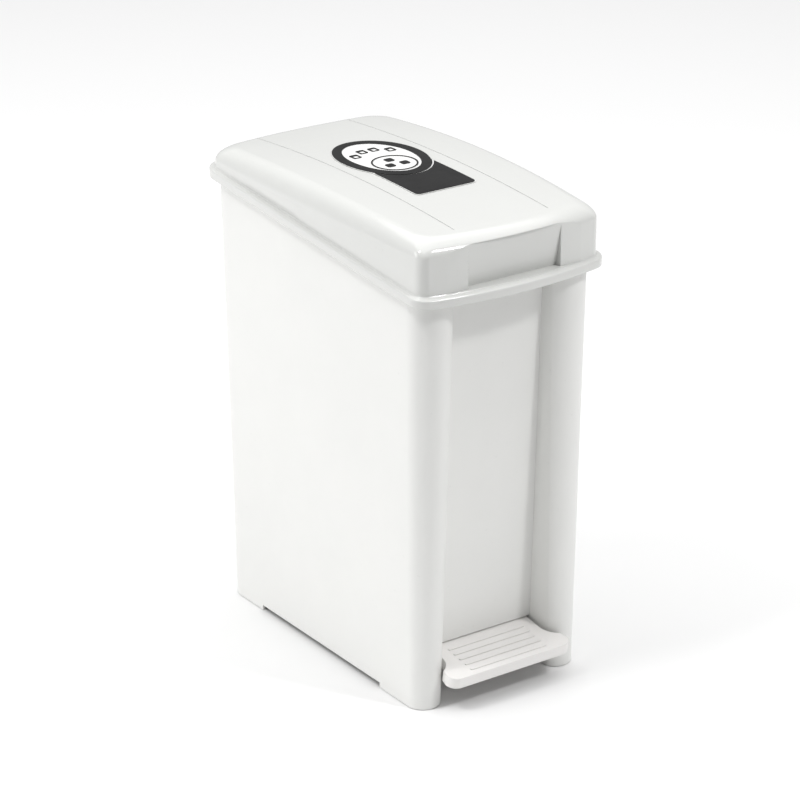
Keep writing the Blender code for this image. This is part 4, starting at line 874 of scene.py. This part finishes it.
class Nodes:
    """Small helper that adds and links the nodes of one material."""

    def __init__(self, name):
        self.material = bpy.data.materials.new(name)
        self.material.use_nodes = True
        self.tree = self.material.node_tree
        self.shader = self.tree.nodes["Principled BSDF"]
        self.place = self.add("ShaderNodeTexCoord").outputs["Object"]

    def add(self, kind, **values):
        node = self.tree.nodes.new(kind)
        for key, value in values.items():
            setattr(node, key, value)
        return node

    def link(self, source, target):
        self.tree.links.new(source, target)

    def stretched(self, scale):
        """Object coordinates scaled along each axis."""
        mapping = self.add("ShaderNodeMapping")
        self.link(self.place, mapping.inputs["Vector"])
        mapping.inputs["Scale"].default_value = scale
        return mapping.outputs["Vector"]

    def noise(self, vector, scale, detail=3.0, rough=0.55):
        node = self.add("ShaderNodeTexNoise")
        self.link(vector, node.inputs["Vector"])
        node.inputs["Scale"].default_value = scale
        node.inputs["Detail"].default_value = detail
        node.inputs["Roughness"].default_value = rough
        return node.outputs["Fac"]

    def spread(self, value, low, high, to_low, to_high):
        """A value mapped from one range to another, clamped."""
        node = self.add("ShaderNodeMapRange")
        self.link(value, node.inputs["Value"])
        for key, number in zip(("From Min", "From Max", "To Min", "To Max"), (low, high, to_low, to_high)):
            node.inputs[key].default_value = number
        return node.outputs["Result"]

    def maths(self, operation, first, second):
        node = self.add("ShaderNodeMath", operation=operation)
        for socket, value in zip(node.inputs, (first, second)):
            if isinstance(value, (int, float)):
                socket.default_value = value
            else:
                self.link(value, socket)
        return node.outputs[0]

    def blend(self, factor, first, second):
        """A colour between two colours."""
        node = self.add("ShaderNodeMix", data_type="RGBA")
        self.link(factor, node.inputs["Factor"])
        node.inputs["A"].default_value = (*first, 1.0)
        node.inputs["B"].default_value = (*second, 1.0)
        return node.outputs["Result"]

    def bump(self, height, distance, base=None):
        node = self.add("ShaderNodeBump")
        node.inputs["Strength"].default_value = 1.0
        node.inputs["Distance"].default_value = distance
        self.link(height, node.inputs["Height"])
        if base is not None:
            self.link(base, node.inputs["Normal"])
        return node.outputs["Normal"]

    def soft_edges(self, radius):
        node = self.add("ShaderNodeBevel", samples=4)
        node.inputs["Radius"].default_value = radius
        return node.outputs["Normal"]


def plastic(name, light, dark, rough_low, rough_high, grain, depth, coat=0.0, edge=0.0006):
    """Moulded plastic: mottled colour, rubbed and scratched gloss, and a moulded grain."""
    m = Nodes(name)
    cloud = m.noise(m.place, 14.0, 4.0)
    rub = m.noise(m.place, 55.0, 5.0, 0.65)
    scratch = m.noise(m.stretched((420.0, 420.0, 9.0)), 1.0, 3.0, 0.7)
    fine = m.noise(m.place, grain, 3.0, 0.6)
    specks = m.noise(m.place, 260.0, 2.0, 0.5)
    tint = m.blend(m.spread(cloud, 0.3, 0.7, 0.0, 1.0), light, dark)
    marks = m.spread(specks, 0.70, 0.78, 0.0, 0.35)
    colour = m.add("ShaderNodeMix", data_type="RGBA")
    m.link(marks, colour.inputs["Factor"])
    m.link(tint, colour.inputs["A"])
    colour.inputs["B"].default_value = (*[0.9 * value for value in dark], 1.0)
    m.link(colour.outputs["Result"], m.shader.inputs["Base Color"])
    worn = m.spread(rub, 0.35, 0.7, rough_low, rough_high)
    lines = m.spread(scratch, 0.62, 0.75, 0.0, 0.10)
    m.link(m.maths("ADD", worn, lines), m.shader.inputs["Roughness"])
    rounded = m.soft_edges(edge)
    grained = m.bump(fine, depth, rounded)
    sink = m.bump(m.noise(m.place, 22.0, 2.0, 0.4), depth * 2.5, grained)
    m.link(sink, m.shader.inputs["Normal"])
    m.shader.inputs["Coat Weight"].default_value = coat
    m.shader.inputs["Coat Roughness"].default_value = 0.08
    m.shader.inputs["Specular IOR Level"].default_value = 0.5
    return m.material


def steel_material():
    """Zinc-plated steel: drawn lines, a mottled bluish bloom and worn gloss."""
    m = Nodes("zinc_steel_fine")
    drawn = m.noise(m.stretched((900.0, 900.0, 30.0)), 1.0, 4.0, 0.7)
    bloom = m.noise(m.place, 160.0, 4.0, 0.6)
    m.link(m.blend(m.spread(bloom, 0.35, 0.65, 0.0, 1.0), (0.66, 0.67, 0.67), (0.52, 0.53, 0.55)),
           m.shader.inputs["Base Color"])
    m.link(m.spread(drawn, 0.3, 0.7, 0.22, 0.42), m.shader.inputs["Roughness"])
    m.link(m.bump(drawn, 0.00003, m.soft_edges(0.0003)), m.shader.inputs["Normal"])
    m.shader.inputs["Metallic"].default_value = 1.0
    return m.material


def rubber_material():
    """Dark rubber: dusty, with a coarse matt skin."""
    m = Nodes("pad_rubber_fine")
    dust = m.noise(m.place, 320.0, 5.0, 0.7)
    m.link(m.blend(m.spread(dust, 0.45, 0.75, 0.0, 1.0), (0.035, 0.035, 0.036), (0.16, 0.155, 0.15)),
           m.shader.inputs["Base Color"])
    m.link(m.spread(dust, 0.3, 0.7, 0.62, 0.92), m.shader.inputs["Roughness"])
    m.link(m.bump(m.noise(m.place, 2600.0, 3.0), 0.00006, m.soft_edges(0.0006)), m.shader.inputs["Normal"])
    return m.material


def film_material(name, light, dark, low, high):
    """Printed film: slight orange peel, fine fibre speckle and uneven gloss."""
    m = Nodes(name)
    fibre = m.noise(m.place, 1500.0, 3.0, 0.6)
    cloud = m.noise(m.place, 40.0, 3.0)
    m.link(m.blend(m.spread(fibre, 0.4, 0.7, 0.0, 1.0), light, dark), m.shader.inputs["Base Color"])
    m.link(m.spread(cloud, 0.3, 0.7, low, high), m.shader.inputs["Roughness"])
    m.link(m.bump(m.noise(m.place, 700.0, 2.0), 0.000012), m.shader.inputs["Normal"])
    m.shader.inputs["Specular IOR Level"].default_value = 0.25
    return m.material


FINE = {
    "body_plastic": plastic("body_plastic_fine", (0.875, 0.875, 0.855), (0.855, 0.857, 0.838),
                            0.38, 0.50, 2600.0, 0.000035),
    "lid_plastic": plastic("lid_plastic_fine", (0.735, 0.741, 0.722), (0.723, 0.728, 0.709),
                           0.13, 0.20, 420.0, 0.000008, 0.35),
    "pedal_plastic": plastic("pedal_plastic_fine", (0.925, 0.908, 0.893), (0.890, 0.872, 0.856),
                             0.28, 0.42, 1900.0, 0.000022, 0.0, 0.0008),
    "inner_plastic": plastic("inner_plastic_fine", (0.790, 0.800, 0.795), (0.750, 0.760, 0.757),
                             0.34, 0.48, 1500.0, 0.00003),
    "fitting_plastic": plastic("fitting_plastic_fine", (0.760, 0.765, 0.760), (0.700, 0.708, 0.704),
                               0.38, 0.55, 1700.0, 0.00004, 0.0, 0.0005),
    "zinc_steel": steel_material(),
    "pad_rubber": rubber_material(),
    "label_white": film_material("label_white_fine", (0.90, 0.90, 0.89), (0.86, 0.86, 0.85), 0.24, 0.36),
    "label_black": film_material("label_black_fine", (0.006, 0.006, 0.006), (0.012, 0.012, 0.013),
                                 0.38, 0.50),
}


# ---------------------------------------------------------------- fine pieces

def settle(item, name, body, slot, node=None, sharp=SHARP):
    """Apply a shaped piece's modifiers, move it into the frame and hang it on its body."""
    bpy.context.view_layer.update()
    evaluated = item.evaluated_get(bpy.context.evaluated_depsgraph_get())
    mesh = bpy.data.meshes.new_from_object(evaluated)
    mesh.transform(Matrix.Translation((0, CENTRE_SHIFT, 0)) @ item.matrix_world)
    bm = bmesh.new()
    bm.from_mesh(mesh)
    bmesh.ops.remove_doubles(bm, verts=bm.verts, dist=1e-6)
    bmesh.ops.dissolve_degenerate(bm, edges=bm.edges, dist=1e-6)
    bm.to_mesh(mesh)
    bm.free()
    mesh.materials.clear()
    mesh.materials.append(FINE[slot])
    mesh.shade_smooth()
    mesh.set_sharp_from_angle(angle=sharp)
    bpy.data.objects.remove(item, do_unlink=True)
    piece = bpy.data.objects.new(name, mesh)
    bpy.context.scene.collection.objects.link(piece)
    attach(piece, body)
    if node is not None:
        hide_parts(node)
    return piece


def icon(name, outline, window=None):
    """A thin printed mark on the label, laid over the lid's arch."""
    layer = arched_slab(name, 2 * GAP + LABEL_THICKNESS, 2 * GAP + 2 * LABEL_THICKNESS,
                        MARK_SHEET_HALF_WIDTH)
    low, high = LID_TOP - 4 * WALL, LID_TOP + 4 * WALL
    combine(layer, slab(name + "_outline", outline, "XY", low, high), "INTERSECT")
    if window is not None:
        cut(layer, slab(name + "_window", window, "XY", low, high))
    return layer


def round_outline(x, y, radius, steps=64):
    """A circle as an outline, without its last point twice."""
    return arc(x, y, radius, 0, 360 * (steps - 1) / steps, steps - 1)


def block_outline(x, y, half_x, half_y, corner):
    """A rounded block about a centre."""
    return [(x + px, y + py) for px, py in rounded_rectangle(half_x, -half_y, half_y, corner, 8)]


def add_icons():
    """Small generic marks on the label: four little blocks, and a ring with three petals in it."""
    marks = []
    for index, x in enumerate(BLOCK_PLACES):
        y = BLOCK_HEIGHT + BLOCK_ARCH * (1 - abs(x) / BLOCK_PLACES[-1])
        outline = block_outline(x, y, *BLOCK_SIZE)
        window = block_outline(x, y - BLOCK_WINDOW_DROP, *BLOCK_WINDOW)
        marks.append(icon("label_mark_%d" % (index + 1), outline, window))
    marks.append(icon("label_ring", round_outline(0.0, RING_CENTRE, RING_RADIUS),
                      round_outline(0.0, RING_CENTRE, RING_INSIDE)))
    for index in range(PETAL_COUNT):
        turn = math.radians(90 + 120 * index)
        x = PETAL_PLACE * math.cos(turn)
        y = RING_CENTRE + PETAL_PLACE * math.sin(turn)
        marks.append(icon("label_petal_%d" % (index + 1), block_outline(x, y, *PETAL_SIZE)))
    for mark in marks:
        settle(mark, "fine_" + mark.name, "lid", "label_black")


def cut_ring_line(label_piece):
    """The thin white line round the oval, which parts it from the tab."""
    wider, longer = OVAL_LINE_GROWTH
    turns = [2 * math.pi * step / OVAL_STEPS for step in range(OVAL_STEPS)]
    outline = [(LABEL_HALF_WIDTH * wider * math.cos(turn),
                LABEL_CENTRE + LABEL_HALF_LENGTH * longer * math.sin(turn)) for turn in turns]
    inner = [(LABEL_HALF_WIDTH * math.cos(turn), LABEL_CENTRE + LABEL_HALF_LENGTH * math.sin(turn))
             for turn in turns]
    ring = slab("ring_line", outline, "XY", LID_TOP - OVAL_LINE_REACH, LID_TOP + OVAL_LINE_REACH)
    inner_reach = OVAL_LINE_REACH + 0.001
    cut(ring, slab("ring_line_inside", inner, "XY", LID_TOP - inner_reach, LID_TOP + inner_reach))
    cut(label_piece, ring)


make_tub()
make_lid()
make_label()
make_pedal()
settle(made["body_shell"], "fine_body", "body", "body_plastic", "body_shell")
settle(made["lid_shell"], "fine_lid", "lid", "lid_plastic", "lid_shell")
settle(made["label_sheet"], "fine_label_sheet", "lid", "label_white", "label_sheet")
cut_ring_line(made["label_print"])
settle(made["label_print"], "fine_label_print", "lid", "label_black", "label_print")
settle(made["pedal"], "fine_pedal", "pedal", "pedal_plastic", "pedal")
add_icons()
for tool in list(cutters.objects):
    bpy.data.objects.remove(tool, do_unlink=True)

slots = {part["node"]: part["material_slot"] for part in frame["record"]["subparts"]}
for name, node in frame["nodes"].items():
    for place in node.material_slots:
        place.material = FINE[slots[name]]

# ---------------------------------------------------------------- camera, floor and light
AZIMUTH = math.radians(-35.053)         # of the camera, matched to the photo
ELEVATION = math.radians(22.466)
CAMERA_PLACE = (-1.3729, -1.9639 + CENTRE_SHIFT, 1.1862)
WORLD_STRENGTH = 0.43
WHITE_FLOOR = (0.93, 0.93, 0.93)
DARK_CARD = (0.02, 0.02, 0.02)
camera_data = bpy.data.cameras.new("camera")
camera_data.sensor_width = 36.0
camera_data.lens = 145.50
camera_data.shift_x = 0.00556
camera_data.shift_y = -0.00115
camera_data.clip_end = 50.0
camera = bpy.data.objects.new("camera", camera_data)
bpy.context.scene.collection.objects.link(camera)
back = Vector((math.sin(AZIMUTH) * math.cos(ELEVATION), -math.cos(AZIMUTH) * math.cos(ELEVATION),
               math.sin(ELEVATION)))
camera.location = CAMERA_PLACE
camera.rotation_euler = back.to_track_quat("Z", "Y").to_euler()
bpy.context.scene.camera = camera


def area_light(name, place, target, width, height, power):
    """A soft rectangular light that looks at a point."""
    data = bpy.data.lights.new(name, "AREA")
    data.shape = "RECTANGLE"
    data.size = width
    data.size_y = height
    data.energy = power
    light = bpy.data.objects.new(name, data)
    light.location = place
    light.rotation_euler = (Vector(place) - Vector(target)).to_track_quat("Z", "Y").to_euler()
    bpy.context.scene.collection.objects.link(light)


def stage_panel(name, vertices, colour):
    """A flat stage surface, which is not part of the object."""
    mesh = bpy.data.meshes.new(name)
    mesh.from_pydata(vertices, [], [tuple(range(len(vertices)))])
    panel = bpy.data.objects.new(name, mesh)
    bpy.context.scene.collection.objects.link(panel)
    material = bpy.data.materials.new(name)
    material.use_nodes = True
    shader = material.node_tree.nodes["Principled BSDF"]
    shader.inputs["Base Color"].default_value = (*colour, 1.0)
    shader.inputs["Roughness"].default_value = 0.9
    mesh.materials.append(material)
    return panel


stage_panel("floor", [(-9, -9, 0), (9, -9, 0), (9, 9, 0), (-9, 9, 0)], WHITE_FLOOR)
# Upright card between the camera and the bin. The camera does not see it, but the bin is shaded by it.
card = stage_panel("dark_card", [(-1.55, -0.55, 0.05), (0.05, -1.75, 0.05),
                                 (0.05, -1.75, 1.30), (-1.55, -0.55, 1.30)], DARK_CARD)
card.visible_camera = False
world = bpy.data.worlds.new("studio")
bpy.context.scene.world = world
world.use_nodes = True
world.node_tree.nodes["Background"].inputs[0].default_value = (1, 1, 1, 1)
world.node_tree.nodes["Background"].inputs[1].default_value = WORLD_STRENGTH
area_light("left_box", (-2.4, 1.0, 1.0), (0, 0, 0.2), 1.2, 1.4, 17)
area_light("key_box", (-1.5, 0.1, 2.6), (0, 0, 0.3), 0.45, 0.45, 18)
area_light("front_box", (0.9, -1.7, 2.3), (0, -0.1, 0.1), 0.30, 0.30, 21)
area_light("top_box", (0.4, 0.6, 3.2), (0.4, 0.6, 0), 4.0, 4.0, 70)
bpy.context.scene.view_settings.view_transform = "Standard"
